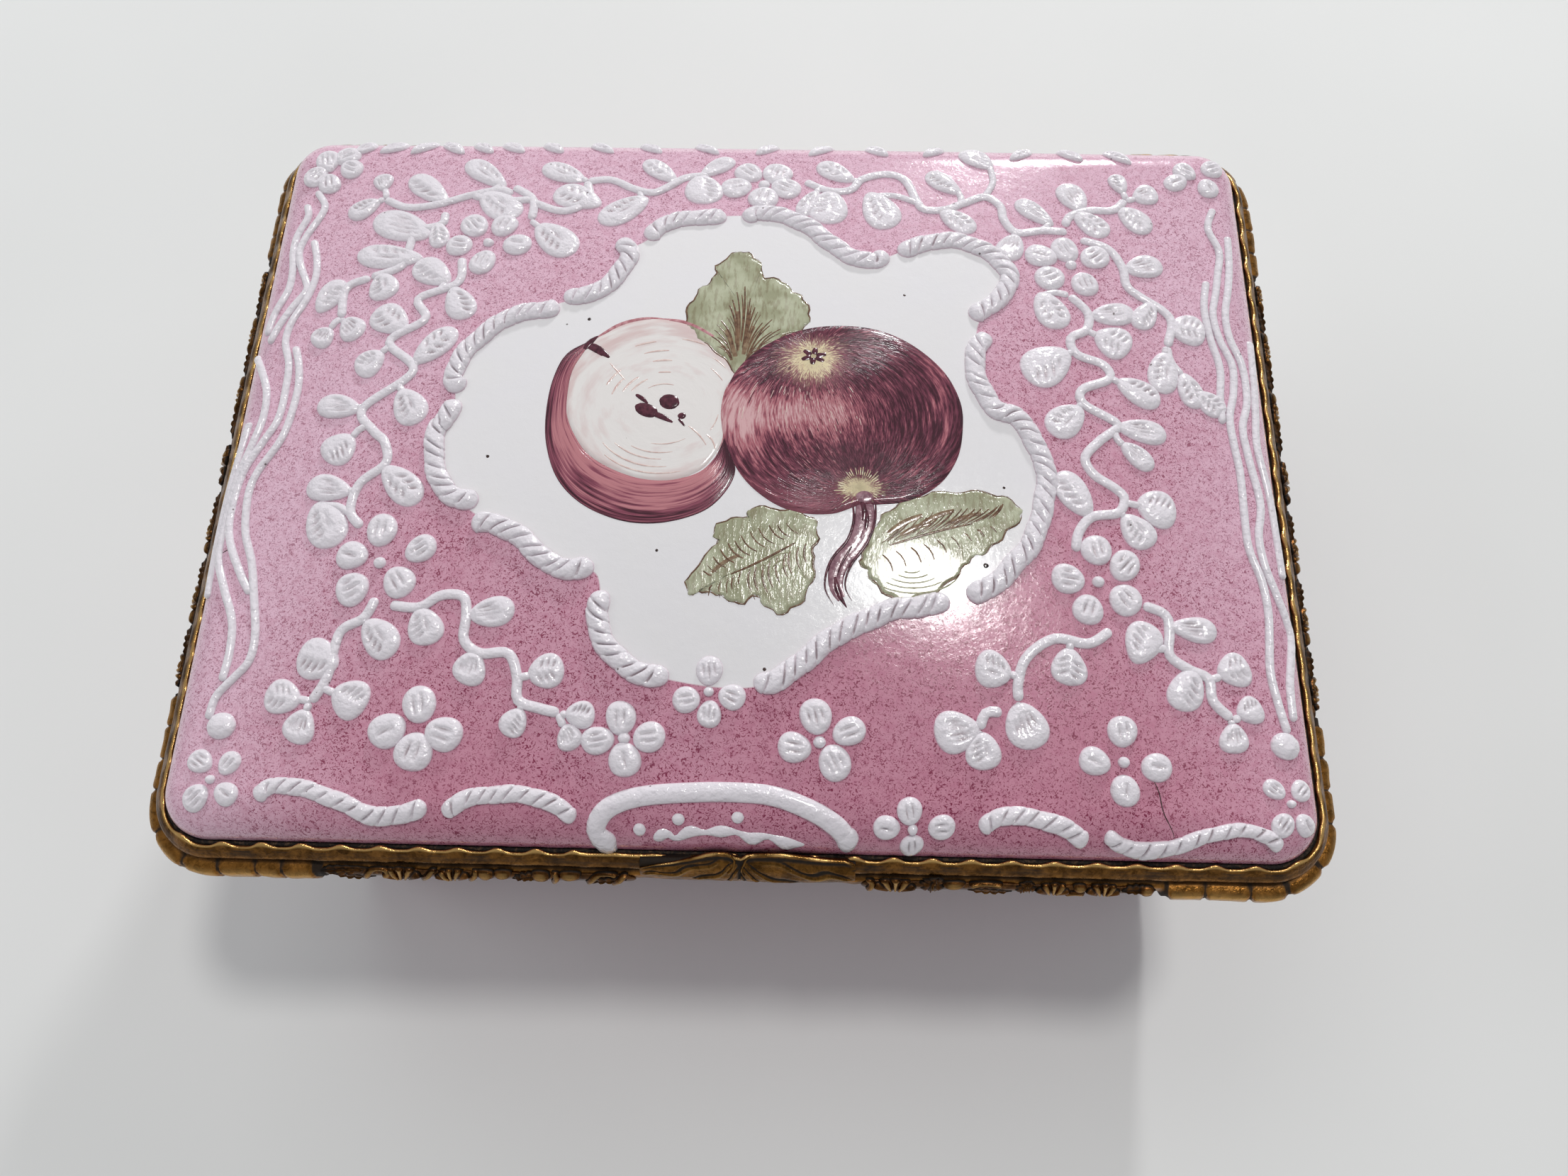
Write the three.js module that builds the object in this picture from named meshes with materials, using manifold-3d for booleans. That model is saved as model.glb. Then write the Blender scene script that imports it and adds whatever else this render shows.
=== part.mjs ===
// Enamelled table box with a hinged, cushion-shaped lid in gilt metal mounts.
// Millimetres, +Z up. The origin is the middle of the flat bottom; +Y points to the hinge.
import * as THREE from 'three';
import { mergeVertices } from 'three/addons/utils/BufferGeometryUtils.js';
import Module from 'manifold-3d';

// Plan of the lid's enamel where it enters the bezel. Every mount is an offset of this outline.
const enamelWidth = 85.0;
const enamelDepth = 63.2;
const enamelCorner = 3.6;
const leastCorner = 0.8;

// Height of the parting plane, and the gaps between pieces
const baseHeight = 33; // from the bottom to the plane where lid and base meet
const partingGap = 0.05; // between the lid's mount and the base's mount
const solderGap = 0.06; // between pieces that are soldered or cemented together
const castGap = 0.3; // between a cast ornament and what it is cut to fit

// Lid enamel on copper
const lidWall = 1.3;
const lidStraight = 0.44; // upright part of the foot below the shoulder
const shoulderRise = 2.5;
const shoulderWidth = 3.0;
const crownRise = 4.1;

// Lid mount
const flangeMetal = 0.4;
const flangeReach = 1.4; // inwards of the enamel's outline
const bezelWall = 0.3;
const bezelReach = 1.25; // outwards of the enamel's outline
const bezelHeight = 1.0;
const cementWidth = 0.22;
const cementSetBack = 0.05; // the cement's edge behind the metal's edge
const scallopPitch = 2.9;
const scallopRise = 0.17;
const scallopEdge = 0.04; // the waves' outer edge below their inner edge

// Thumb piece on the lid's mount
const thumbWidth = 15.8;
const thumbCentre = 0.95; // to the right of the box's middle
const thumbReach = 2.6; // outwards of the enamel's outline
const thumbRise = 1.75; // above the parting plane, at its highest
const thumbDrop = 0.9; // below the parting plane, in front of the girdle
const thumbClearance = 0.25; // to the girdle
const thumbEndShare = 0.35; // of its full swell, left at each end
const thumbEdge = 0.12;
const thumbFlutes = 9;
const thumbFluteDepth = 0.12;
const notchDepth = 0.3;
const notchPlace = 0.3; // to the right of the box's middle
const notchWidth = 0.8;

// Base enamel on copper
const baseWall = 1.4;
const baseInset = 0.3; // the base's wall inwards of the lid enamel's outline
const baseTaper = 2.3; // the wall's lean between the mount and the bottom curve
const baseLeanPower = 1.35;
const baseUpright = 4.2; // upright band under the mount
const bottomRadius = 3.6;

// Base mount
const baseFlangeMetal = 0.4;
const baseFlangeReach = 1.2;
const skirtHeight = 3.1;
const skirtMetal = 0.45;
const skirtBevel = 0.12;
const girdleReach = 1.9; // the ground of the moulding; its gadroons stand out further
const girdleHeight = 2.3;
const girdleUnderCut = 0.7;
const girdleChamfer = 0.3;
const gadroonRise = 0.5;
const gadroonPitch = 2.5;
const gadroonRun = 7.4; // length of gadroons along a side, from where its corner ends
const grooveShare = 0.2; // of a gadroon, at each of its ends
const lipMetal = 0.5;
const lipRise = 1.2; // above the parting plane
const lipDepth = 2.6; // below the parting plane
const lipClearance = 0.3; // between the lip and the lid's flange
const lipBevel = 0.15;

// Cast sprays of shells and leaves on the girdle, from one run of gadroons to the next
const sprayProud = 0.7; // past the girdle's ground
const sprayEndGap = 0.3; // to the gadroons and the thumb piece
const sprayDrop = 0.45; // its middle line below the girdle's top
const beadPitch = 2.5;
const beadLength = 3.2;
const beadHalfHeights = [0.95, 0.72, 1.05]; // these repeat along the spray

// Hinge
const hingeLength = 50;
const knuckleCount = 5;
const knuckleGap = 0.3;
const knuckleRadius = 1.0;
const barrelSetOff = 0.33; // between the barrel and the notch in the base's mount
const axisDrop = 2.1; // hinge axis below the parting plane
const pinRadius = 0.45;
const pinClearance = 0.08;
const plugLength = 1.2;
const leafMetal = 0.4;
const leafClearance = 0.15; // between a lid leaf and the notch it rises through
const padHeight = 1.5; // of the pad that joins a base knuckle to the skirt

// Raised enamel rope round the white reserve
const ropeRadius = 0.65;
const ropeSink = 0.25; // its middle below the lid's face
const ropeSides = 6;

const gilt = new THREE.MeshStandardMaterial({ color: 0xa8792f, metalness: 1, roughness: 0.35 });
const pinkEnamel = new THREE.MeshStandardMaterial({ color: 0xd99bbd, roughness: 0.15 });
const darkCement = new THREE.MeshStandardMaterial({ color: 0x2a211b, roughness: 0.9 });
const steel = new THREE.MeshStandardMaterial({ color: 0x8a8478, metalness: 1, roughness: 0.4 });

const halfX = enamelWidth / 2;
const halfY = enamelDepth / 2;

const wasm = await Module();
wasm.setup();

// A point of the outline moved outwards by offset. Stage 0 to 8 goes once round, anticlockwise from above:
// right side, corner, back, corner, left side, corner, front, corner.
function outlinePoint(offset, stage) {
  const r = Math.max(enamelCorner + offset, leastCorner);
  const a = halfX + offset - r;
  const b = halfY + offset - r;
  const leg = Math.floor(stage) % 8;
  const f = stage - Math.floor(stage);
  const side = Math.floor(leg / 2);
  const middle = [[a, b], [-a, b], [-a, -b], [a, -b]][side];
  const angle = side * Math.PI / 2;
  if (leg % 2 === 1) {
    const turn = angle + f * Math.PI / 2;
    return [middle[0] + r * Math.cos(turn), middle[1] + r * Math.sin(turn)];
  }
  const back = (side % 2 === 0 ? 2 * b : 2 * a) * (1 - f);
  return [
    middle[0] + r * Math.cos(angle) + back * Math.sin(angle),
    middle[1] + r * Math.sin(angle) - back * Math.cos(angle),
  ];
}

// Length of one leg of the outline: odd legs are corners.
function legLength(leg, offset) {
  if (leg % 2 === 1) return (enamelCorner + offset) * Math.PI / 2;
  return (leg % 4 === 0 ? enamelDepth : enamelWidth) - 2 * enamelCorner;
}

// Stages for a ring, from the number of parts in each leg.
function stages(partsOf) {
  const found = [];
  for (let leg = 0; leg < 8; leg++) {
    const parts = partsOf(leg);
    for (let i = 0; i < parts; i++) found.push(leg + i / parts);
  }
  return found;
}

const cornerParts = 8;
const plainStages = stages((leg) => (leg % 2 === 1 ? cornerParts : 1));
const domeStages = stages((leg) => (leg % 2 === 1 ? cornerParts : leg % 4 === 0 ? 6 : 8));

// A ring of points: its offset is a number or a function of the place in the ring, and its height
// a number or a function of stage, x and y.
function ring(offset, height, at = plainStages) {
  return at.map((stage, k) => {
    const [x, y] = outlinePoint(typeof offset === 'function' ? offset(k) : offset, stage);
    return { stage, p: [x, y, typeof height === 'function' ? height(stage, x, y) : height] };
  });
}

function triangles(position, index) {
  const geometry = new THREE.BufferGeometry();
  geometry.setAttribute('position', new THREE.Float32BufferAttribute(position, 3));
  geometry.setIndex(index);
  return geometry;
}

// Joins each ring to the next. The last joins the first, unless endHeights gives each end a middle point.
function skin(rings, endHeights = null) {
  const position = [];
  const index = [];
  const firsts = rings.map((r) => {
    const first = position.length / 3;
    r.forEach((s) => position.push(...s.p));
    return first;
  });
  const stageOf = (r, i) => (i < r.length ? r[i].stage : 8 + r[i - r.length].stage);
  const pairs = endHeights ? rings.length - 1 : rings.length;
  for (let k = 0; k < pairs; k++) {
    const next = (k + 1) % rings.length;
    const [a, b] = [rings[k], rings[next]];
    let i = 0;
    let j = 0;
    while (i < a.length || j < b.length) {
      const atA = firsts[k] + (i % a.length);
      const atB = firsts[next] + (j % b.length);
      if (j >= b.length || (i < a.length && stageOf(a, i + 1) <= stageOf(b, j + 1))) {
        i++;
        index.push(atA, firsts[k] + (i % a.length), atB);
      } else {
        j++;
        index.push(atA, firsts[next] + (j % b.length), atB);
      }
    }
  }
  (endHeights ?? []).forEach((height, end) => {
    const k = end === 0 ? 0 : rings.length - 1;
    const middle = position.length / 3;
    position.push(0, 0, height);
    rings[k].forEach((s, i) => {
      const p = firsts[k] + i;
      const q = firsts[k] + ((i + 1) % rings[k].length);
      index.push(p, ...(end === 0 ? [middle, q] : [q, middle]));
    });
  });
  return triangles(position, index);
}

// A section of [outwards, up] points, anticlockwise, swept round the outline.
function sweptSection(section) {
  return skin(section.map(([d, z]) => ring(d, z)));
}

function toSolid(geometry) {
  const plain = geometry.index ? geometry.toNonIndexed() : geometry;
  const bare = new THREE.BufferGeometry().setAttribute('position', plain.getAttribute('position'));
  const merged = mergeVertices(bare, 1e-4);
  return new wasm.Manifold(new wasm.Mesh({
    numProp: 3,
    vertProperties: merged.attributes.position.array,
    triVerts: new Uint32Array(merged.index.array),
  }));
}

function toGeometry(solid) {
  const mesh = solid.getMesh();
  const position = [];
  for (let i = 0; i < mesh.numVert; i++) {
    for (let k = 0; k < 3; k++) position.push(mesh.vertProperties[i * mesh.numProp + k]);
  }
  return triangles(position, Array.from(mesh.triVerts));
}

// How far a point lies inside the enamel's outline.
function insetOf(x, y) {
  const qx = Math.abs(x) - (halfX - enamelCorner);
  const qy = Math.abs(y) - (halfY - enamelCorner);
  return enamelCorner - Math.hypot(Math.max(qx, 0), Math.max(qy, 0)) - Math.min(Math.max(qx, qy), 0);
}

const quarterRound = (share) => Math.sqrt(Math.max(0, 1 - (1 - Math.min(1, share)) ** 2));

// The lid's enamel stands on its mount's flange.
const flangeTop = baseHeight + flangeMetal;
const lidFoot = flangeTop + solderGap;
const lidStart = lidFoot + lidStraight;

// Height of the lid's outer face: a rolled shoulder that carries a low crown.
function lidHeight(x, y, inset) {
  const crown = crownRise * (1 - Math.min(1, (x / halfX) ** 2)) * (1 - Math.min(1, (y / halfY) ** 2));
  return lidStart + shoulderRise * quarterRound(inset / shoulderWidth) + crown;
}

function lidInnerHeight(x, y, inset) {
  const full = lidHeight(x, y, shoulderWidth) - lidWall - lidFoot;
  return lidFoot + full * quarterRound((inset - lidWall) / (shoulderWidth - lidWall));
}

// Places of the lid's rings: shares of the shoulder's width, then shares of the way to the middle line.
const outerShares = [0, 0.04, 0.17, 0.4, 0.7, 1];
const innerShares = [0, 0.1, 0.4, 1];
const crownShares = [0.15, 0.36, 0.6, 0.82];
const crownInsets = crownShares.map((f) => shoulderWidth + f * (halfY - shoulderWidth));

// The white reserve's edge, clockwise from its upper left: x and y of the points its rope runs through.
const reserveEdge = [
  [-9.1, 18.3], [-7.9, 20.0], [-5.6, 20.8], [-1.2, 21.2], [2.1, 21.2], [4.4, 20.0], [8.0, 16.7],
  [10.0, 16.3], [12.9, 17.8], [16.1, 18.9], [19.3, 17.9], [21.0, 15.8], [20.8, 14.0], [18.3, 10.8],
  [17.5, 8.0], [17.3, 5.8], [18.4, 3.2], [20.9, 1.6], [22.9, -2.1], [23.1, -4.2], [21.7, -9.0],
  [18.6, -12.4], [16.1, -13.5], [11.1, -14.7], [6.9, -16.7], [2.7, -20.0], [-1.0, -20.6], [-5.9, -19.9],
  [-8.7, -18.8], [-10.4, -16.4], [-10.5, -13.2], [-11.4, -11.9], [-14.8, -11.2], [-16.8, -9.5],
  [-20.6, -7.4], [-23.7, -4.6], [-24.5, -1.1], [-23.4, 2.2], [-23.7, 5.2], [-21.8, 9.8], [-19.7, 11.4],
  [-14.6, 12.6], [-12.0, 13.8], [-10.8, 16.8],
];

// A round-sided ridge on the lid's enamel, along a closed curve.
function rope(points) {
  const curve = new THREE.CatmullRomCurve3(points.map(([x, y]) => new THREE.Vector3(x, y, 0)), true);
  const steps = points.length * 2;
  const position = [];
  const index = [];
  for (let i = 0; i < steps; i++) {
    const p = curve.getPoint(i / steps);
    const t = curve.getTangent(i / steps);
    const middle = lidHeight(p.x, p.y, insetOf(p.x, p.y)) - ropeSink;
    for (let k = 0; k < ropeSides; k++) {
      const angle = (k / ropeSides) * 2 * Math.PI;
      const across = ropeRadius * Math.cos(angle);
      position.push(p.x + t.y * across, p.y - t.x * across, middle + ropeRadius * Math.sin(angle));
    }
  }
  for (let i = 0; i < steps; i++) {
    for (let k = 0; k < ropeSides; k++) {
      const a = i * ropeSides + k;
      const b = i * ropeSides + ((k + 1) % ropeSides);
      const c = ((i + 1) % steps) * ropeSides + k;
      const d = ((i + 1) % steps) * ropeSides + ((k + 1) % ropeSides);
      index.push(a, c, b, b, c, d);
    }
  }
  return triangles(position, index);
}

function lidShell() {
  const outerInsets = [...outerShares.map((f) => f * shoulderWidth), ...crownInsets];
  const innerInsets = [...innerShares.map((f) => lidWall + f * (shoulderWidth - lidWall)), ...crownInsets];
  const outer = outerInsets.map((d) => ring(-d, (stage, x, y) => lidHeight(x, y, d), domeStages));
  const inner = innerInsets.map((d) => ring(-d, (stage, x, y) => lidInnerHeight(x, y, d), domeStages));
  const dome = skin(
    [...inner.reverse(), ring(0, lidFoot, domeStages), ...outer],
    [lidInnerHeight(0, 0, halfY), lidHeight(0, 0, halfY)],
  );
  return toGeometry(toSolid(dome).add(toSolid(rope(reserveEdge))));
}

const bezelTop = baseHeight + bezelHeight;
const cementOuter = solderGap + cementWidth;
const bezelInner = cementOuter + solderGap;
const bezelTip = bezelInner + bezelWall;

// The bezel's lip has whole waves on each leg: two points a wave on a side, and four round a corner.
const wavesOn = (leg) => (leg % 2 === 1
  ? cornerParts / 4
  : Math.max(1, Math.round(legLength(leg, bezelTip) / scallopPitch)));
const scallopStages = stages((leg) => (leg % 2 === 1 ? cornerParts : 2 * wavesOn(leg)));

function lipHeight(stage) {
  const leg = Math.floor(stage) % 8;
  return bezelTop + scallopRise * Math.cos((stage - Math.floor(stage)) * wavesOn(leg) * 2 * Math.PI);
}

// The bezel's mouldings from foot to lip: shares of its reach past the tip, and of its height.
const bezelProfile = [[0.86, 0], [1, 0.13], [1, 0.34], [0.78, 0.45], [0.82, 0.56]];
const bezelNeck = [0.3, 0.7];

function lidBezel() {
  const reach = ([out]) => bezelTip + (bezelReach - bezelTip) * out;
  const height = ([, up]) => baseHeight + bezelHeight * up;
  return skin([
    ring(-flangeReach, baseHeight),
    ...bezelProfile.map((shares) => ring(reach(shares), height(shares))),
    ring(reach(bezelNeck), height(bezelNeck), scallopStages),
    ring(bezelTip, (stage) => lipHeight(stage) - scallopEdge, scallopStages),
    ring(bezelInner, lipHeight, scallopStages),
    ring(bezelInner, flangeTop),
    ring(-flangeReach, flangeTop),
  ]);
}

function lidCement() {
  const low = flangeTop + solderGap;
  const high = bezelTop - scallopRise - cementSetBack;
  return sweptSection([[solderGap, low], [cementOuter, low], [cementOuter, high], [solderGap, high]]);
}

// Heights of the base mount's flange, and of the enamel wall that it covers
const baseMountTop = baseHeight - partingGap;
const baseFlangeUnder = baseMountTop - baseFlangeMetal;
const baseRim = baseFlangeUnder - solderGap;

// The base's wall stands upright under the mount, then leans in towards the bottom curve.
const leanFrom = baseRim - baseUpright;

function baseWallOffset(z) {
  const lean = Math.min(1, Math.max(0, (leanFrom - z) / (leanFrom - bottomRadius)));
  return -baseInset - baseTaper * lean ** baseLeanPower;
}

function baseShell() {
  const bends = [0, 1, 2, 3, 4].map((i) => (i / 4) * Math.PI / 2);
  const walls = [0.25, 0.5, 0.75, 1].map((f) => bottomRadius + (leanFrom - bottomRadius) * f);
  const edge = baseWallOffset(bottomRadius);
  const inside = bottomRadius - baseWall;
  const outer = [
    ...bends.map((t) => [edge - bottomRadius * (1 - Math.sin(t)), bottomRadius * (1 - Math.cos(t))]),
    ...walls.map((z) => [baseWallOffset(z), z]),
    [-baseInset, baseRim],
  ];
  const inner = [
    ...bends.map((t) => [edge - baseWall - inside * (1 - Math.sin(t)), bottomRadius - inside * Math.cos(t)]),
    ...walls.map((z) => [baseWallOffset(z) - baseWall, z]),
    [-baseInset - baseWall, baseRim],
  ];
  return skin([...outer, ...inner.reverse()].map(([d, z]) => ring(d, z)), [0, baseWall]);
}

const skirtInner = solderGap;
const skirtOuter = skirtInner + skirtMetal;
const skirtLow = baseFlangeUnder - skirtHeight;
const baseMountInner = -baseInset - baseWall;

function baseBezel() {
  return sweptSection([
    [skirtInner, skirtLow],
    [skirtOuter - skirtBevel, skirtLow],
    [skirtOuter, skirtLow + skirtBevel],
    [skirtOuter, baseFlangeUnder],
    [baseFlangeReach, baseFlangeUnder],
    [baseFlangeReach, baseMountTop],
    [baseMountInner, baseMountTop],
    [baseMountInner, baseFlangeUnder],
    [skirtInner, baseFlangeUnder],
  ]);
}

function baseCement() {
  const inner = -baseInset + solderGap;
  const low = skirtLow + cementSetBack;
  return sweptSection([[inner, low], [0, low], [0, baseRim], [inner, baseRim]]);
}

function baseLip() {
  const outer = Math.min(baseMountInner, -flangeReach - lipClearance) - solderGap;
  const high = baseHeight + lipRise;
  const low = baseHeight - lipDepth;
  return sweptSection([
    [outer - lipMetal, low],
    [outer, low],
    [outer, high - lipBevel],
    [outer - lipBevel, high],
    [outer - lipMetal, high],
  ]);
}

// Girdle: a moulding whose corners carry gadroons, cut apart by narrow grooves.
const girdleInner = skirtOuter + solderGap;
const girdleTop = baseRim;

function girdleSection(grow) {
  const low = girdleTop - girdleHeight - grow;
  const high = girdleTop + grow;
  const reach = girdleReach + grow;
  return [
    [girdleInner, low],
    [reach - girdleUnderCut, low],
    [reach, low + girdleUnderCut],
    [reach, high - girdleChamfer],
    [reach - girdleChamfer, high],
    [girdleInner, high],
  ];
}

// Round the girdle: pairs of a stage and the share of the gadroons' rise there.
function gadroonMarks() {
  const marks = [];
  const lobe = [[0, 0], [grooveShare, 1], [1 - grooveShare, 1]];
  for (let leg = 0; leg < 8; leg++) {
    const length = legLength(leg, girdleReach);
    const run = leg % 2 === 1 ? length : gadroonRun;
    const lobes = Math.max(1, Math.round(run / gadroonPitch));
    const share = run / length / lobes;
    const lobesFrom = (start) => {
      for (let i = 0; i < lobes; i++) lobe.forEach(([f, up]) => marks.push([start + (i + f) * share, up]));
    };
    lobesFrom(leg);
    if (leg % 2 === 1) continue;
    marks.push([leg + lobes * share, 0]);
    lobesFrom(leg + 1 - lobes * share);
  }
  return marks;
}

// The inner faces are plain, the edges beside the outer face carry its stages, and that face swells.
function girdle() {
  const marks = gadroonMarks();
  const at = marks.map(([stage]) => stage);
  const swell = (d) => (k) => d + marks[k][1] * gadroonRise;
  const [innerLow, underEdge, lowEdge, highEdge, topEdge, innerHigh] = girdleSection(0);
  return skin([
    ring(...innerLow),
    ring(...underEdge, at),
    ring(swell(lowEdge[0]), lowEdge[1], at),
    ring(swell(highEdge[0]), highEdge[1], at),
    ring(...topEdge, at),
    ring(...innerHigh),
  ]);
}

// Hinge line, behind the skirt and below the parting plane
const hingeEnd = hingeLength / 2;
const axisY = halfY + girdleInner + barrelSetOff + knuckleRadius;
const axisZ = baseHeight - axisDrop;

// A round bar along the hinge's axis
function bar(radius, from, to) {
  const shape = new THREE.CylinderGeometry(radius, radius, to - from, 24);
  shape.rotateZ(Math.PI / 2);
  shape.translate((from + to) / 2, axisY, axisZ);
  return shape;
}

function block([fromX, toX], [fromY, toY], [fromZ, toZ]) {
  const shape = new THREE.BoxGeometry(toX - fromX, toY - fromY, toZ - fromZ);
  shape.translate((fromX + toX) / 2, (fromY + toY) / 2, (fromZ + toZ) / 2);
  return toSolid(shape);
}

// The base's mount stops at the hinge, outwards of the given offset.
function hingeNotch(offset) {
  const end = hingeEnd + knuckleGap;
  const far = axisY + girdleReach + gadroonRise;
  return block([-end, end], [halfY + offset, far], [skirtLow - girdleHeight, baseHeight + bezelHeight]);
}

// A knuckle is a tube round the pin. Blocks, given as ranges across and up, join it to its mount.
function knuckle(order, blocks) {
  const pitch = hingeLength / knuckleCount;
  const from = order * pitch - hingeEnd + knuckleGap / 2;
  const to = from + pitch - knuckleGap;
  const bore = toSolid(bar(pinRadius + pinClearance, from - knuckleGap / 2, to + knuckleGap / 2));
  const joined = blocks.reduce(
    (solid, [across, up]) => solid.add(block([from, to], across, up)),
    toSolid(bar(knuckleRadius, from, to)),
  );
  return toGeometry(joined.subtract(bore));
}

// A leaf stands on each lid knuckle, up to the lid's mount; a pad joins each base knuckle to the skirt.
const leafInner = halfY + girdleInner + leafClearance;
const lidBlocks = [
  [[leafInner, leafInner + leafMetal], [axisZ, baseHeight - solderGap]],
  [[leafInner, axisY], [axisZ, axisZ + leafMetal]],
];
const baseBlocks = [
  [[halfY + girdleInner, axisY], [axisZ - padHeight / 2, axisZ + padHeight / 2]],
];

// Thumb piece: a fluted leaf that laps over the lid's bezel and hangs in front of the girdle.
function thumbSection(f) {
  const place = 2 * f - 1;
  const x = thumbCentre + place * thumbWidth / 2;
  const swell = Math.sqrt(1 - (1 - thumbEndShare ** 2) * place * place);
  const notch = notchDepth * swell * Math.exp(-(((x - notchPlace) / notchWidth) ** 2));
  const flute = thumbFluteDepth * Math.cos(f * thumbFlutes * 2 * Math.PI);
  const over = bezelTop + scallopRise + solderGap;
  const least = over + 2 * thumbEdge;
  const low = baseHeight - thumbDrop * swell;
  const top = THREE.MathUtils.lerp(least, Math.max(least, baseHeight + thumbRise), swell) + thumbEdge - notch;
  const behind = girdleReach + thumbClearance;
  const thin = behind + 2 * thumbEdge;
  const reach = THREE.MathUtils.lerp(thin, Math.max(thin, thumbReach), swell) + flute;
  const foot = bezelReach + solderGap;
  const back = bezelInner - thumbEdge;
  return [
    [behind, low],
    [reach - thumbEdge, low],
    [reach, low + 2 * thumbEdge],
    [(reach + bezelTip) / 2 + thumbEdge, (top + over) / 2],
    [bezelTip, top],
    [back, top - thumbEdge],
    [back, over],
    [bezelTip + solderGap, over],
    [foot, baseHeight + bezelHeight / 2],
    [foot, baseHeight + solderGap],
  ].map(([d, z]) => [x, -halfY - d, z]);
}

function thumbPiece() {
  const steps = thumbFlutes * 4;
  const sections = Array.from({ length: steps + 1 }, (unused, i) => thumbSection(i / steps));
  const count = sections[0].length;
  const index = [];
  for (let i = 0; i < steps; i++) {
    for (let k = 0; k < count; k++) {
      const a = i * count + k;
      const b = i * count + ((k + 1) % count);
      index.push(a, a + count, b, b, a + count, b + count);
    }
  }
  [0, steps].forEach((i) => {
    const outline = sections[i].map(([, y, z]) => new THREE.Vector2(-y, z));
    THREE.ShapeUtils.triangulateShape(outline, []).forEach((face) => {
      const [a, b, c] = face.map((k) => i * count + k);
      index.push(a, ...(i === 0 ? [b, c] : [c, b]));
    });
  });
  return triangles(sections.flat(2), index);
}

// Room that the sprays leave free: the girdle, and the lid's mount above the base's flange
const lidRoomReach = bezelReach + castGap;
const lidRoomLow = baseFlangeUnder - castGap;
const sprayRoom = toSolid(sweptSection(girdleSection(castGap))).add(toSolid(sweptSection([
  [0, lidRoomLow],
  [lidRoomReach, lidRoomLow],
  [lidRoomReach, baseHeight + bezelHeight],
  [0, baseHeight + bezelHeight],
])));

// A cast spray along the front, turned to its side of the box: a row of shells and leaves.
function spray(from, to, halfSide, turn) {
  const count = Math.max(2, Math.round((to - from - beadLength) / beadPitch) + 1);
  const pitch = (to - from - beadLength) / (count - 1);
  const beads = Array.from({ length: count }, (unused, i) => {
    const bead = new THREE.SphereGeometry(1, 8, 5);
    bead.scale(beadLength / 2, sprayProud, beadHalfHeights[i % beadHalfHeights.length]);
    bead.translate(from + beadLength / 2 + i * pitch, -halfSide - girdleReach, girdleTop - sprayDrop);
    bead.rotateZ(turn);
    return toSolid(bead);
  });
  return toGeometry(wasm.Manifold.union(beads).subtract(sprayRoom));
}

const box = new THREE.Group();

function add(name, geometry, material) {
  const mesh = new THREE.Mesh(geometry, material);
  mesh.name = name;
  geometry.computeVertexNormals();
  box.add(mesh);
}

// Base: enamelled body, then its mount
add('base_shell', baseShell(), pinkEnamel);
add('base_cement', baseCement(), darkCement);
add('base_bezel', toGeometry(toSolid(baseBezel()).subtract(hingeNotch(girdleInner))), gilt);
add('base_lip', baseLip(), gilt);
add('base_girdle', toGeometry(toSolid(girdle()).subtract(hingeNotch(0))), gilt);

const sprayStop = enamelCorner + gadroonRun + sprayEndGap;
const frontEnd = halfX - sprayStop;
const sideEnd = halfY - sprayStop;
const thumbLeft = thumbCentre - thumbWidth / 2 - sprayEndGap;
const thumbRight = thumbCentre + thumbWidth / 2 + sprayEndGap;
add('front_spray_left', spray(-frontEnd, thumbLeft, halfY, 0), gilt);
add('front_spray_right', spray(thumbRight, frontEnd, halfY, 0), gilt);
add('side_spray_left', spray(-sideEnd, sideEnd, halfX, -Math.PI / 2), gilt);
add('side_spray_right', spray(-sideEnd, sideEnd, halfX, Math.PI / 2), gilt);

// Hinge: the knuckles belong to the base and the lid in turn
for (let i = 0; i < knuckleCount; i++) {
  const owner = i % 2 === 1 ? 'lid' : 'base';
  const name = `${owner}_knuckle_${Math.floor(i / 2) + 1}`;
  add(name, knuckle(i, owner === 'lid' ? lidBlocks : baseBlocks), gilt);
}
const plugOuter = hingeEnd - knuckleGap / 2;
const plugInner = plugOuter - plugLength;
const pinEnd = plugInner - solderGap;
add('hinge_pin', bar(pinRadius, -pinEnd, pinEnd), steel);
add('pin_plug_left', bar(pinRadius, -plugOuter, -plugInner), gilt);
add('pin_plug_right', bar(pinRadius, plugInner, plugOuter), gilt);

// Lid: enamelled dome, then its mount
add('lid_shell', lidShell(), pinkEnamel);
add('lid_cement', lidCement(), darkCement);
add('lid_bezel', lidBezel(), gilt);
add('thumb_piece', thumbPiece(), gilt);

export default box;
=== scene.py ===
import math

import bpy
import numpy as np
from mathutils import Matrix, Vector


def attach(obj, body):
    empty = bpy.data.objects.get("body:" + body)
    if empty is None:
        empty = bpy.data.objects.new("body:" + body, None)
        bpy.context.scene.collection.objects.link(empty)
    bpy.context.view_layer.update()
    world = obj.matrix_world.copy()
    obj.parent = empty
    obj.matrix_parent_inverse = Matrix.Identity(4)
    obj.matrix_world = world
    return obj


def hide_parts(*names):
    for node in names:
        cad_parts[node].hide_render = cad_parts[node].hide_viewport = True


# Enamelled table box: the looks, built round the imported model. Sizes are millimetres until they reach a mesh.
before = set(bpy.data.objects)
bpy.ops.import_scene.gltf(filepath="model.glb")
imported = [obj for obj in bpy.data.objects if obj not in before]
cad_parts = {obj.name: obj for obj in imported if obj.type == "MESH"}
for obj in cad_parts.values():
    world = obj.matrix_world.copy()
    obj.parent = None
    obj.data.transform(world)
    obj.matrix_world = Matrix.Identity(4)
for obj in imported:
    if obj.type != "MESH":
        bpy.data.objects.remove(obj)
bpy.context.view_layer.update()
mm = 0.001
chance = np.random.default_rng(18)

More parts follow.
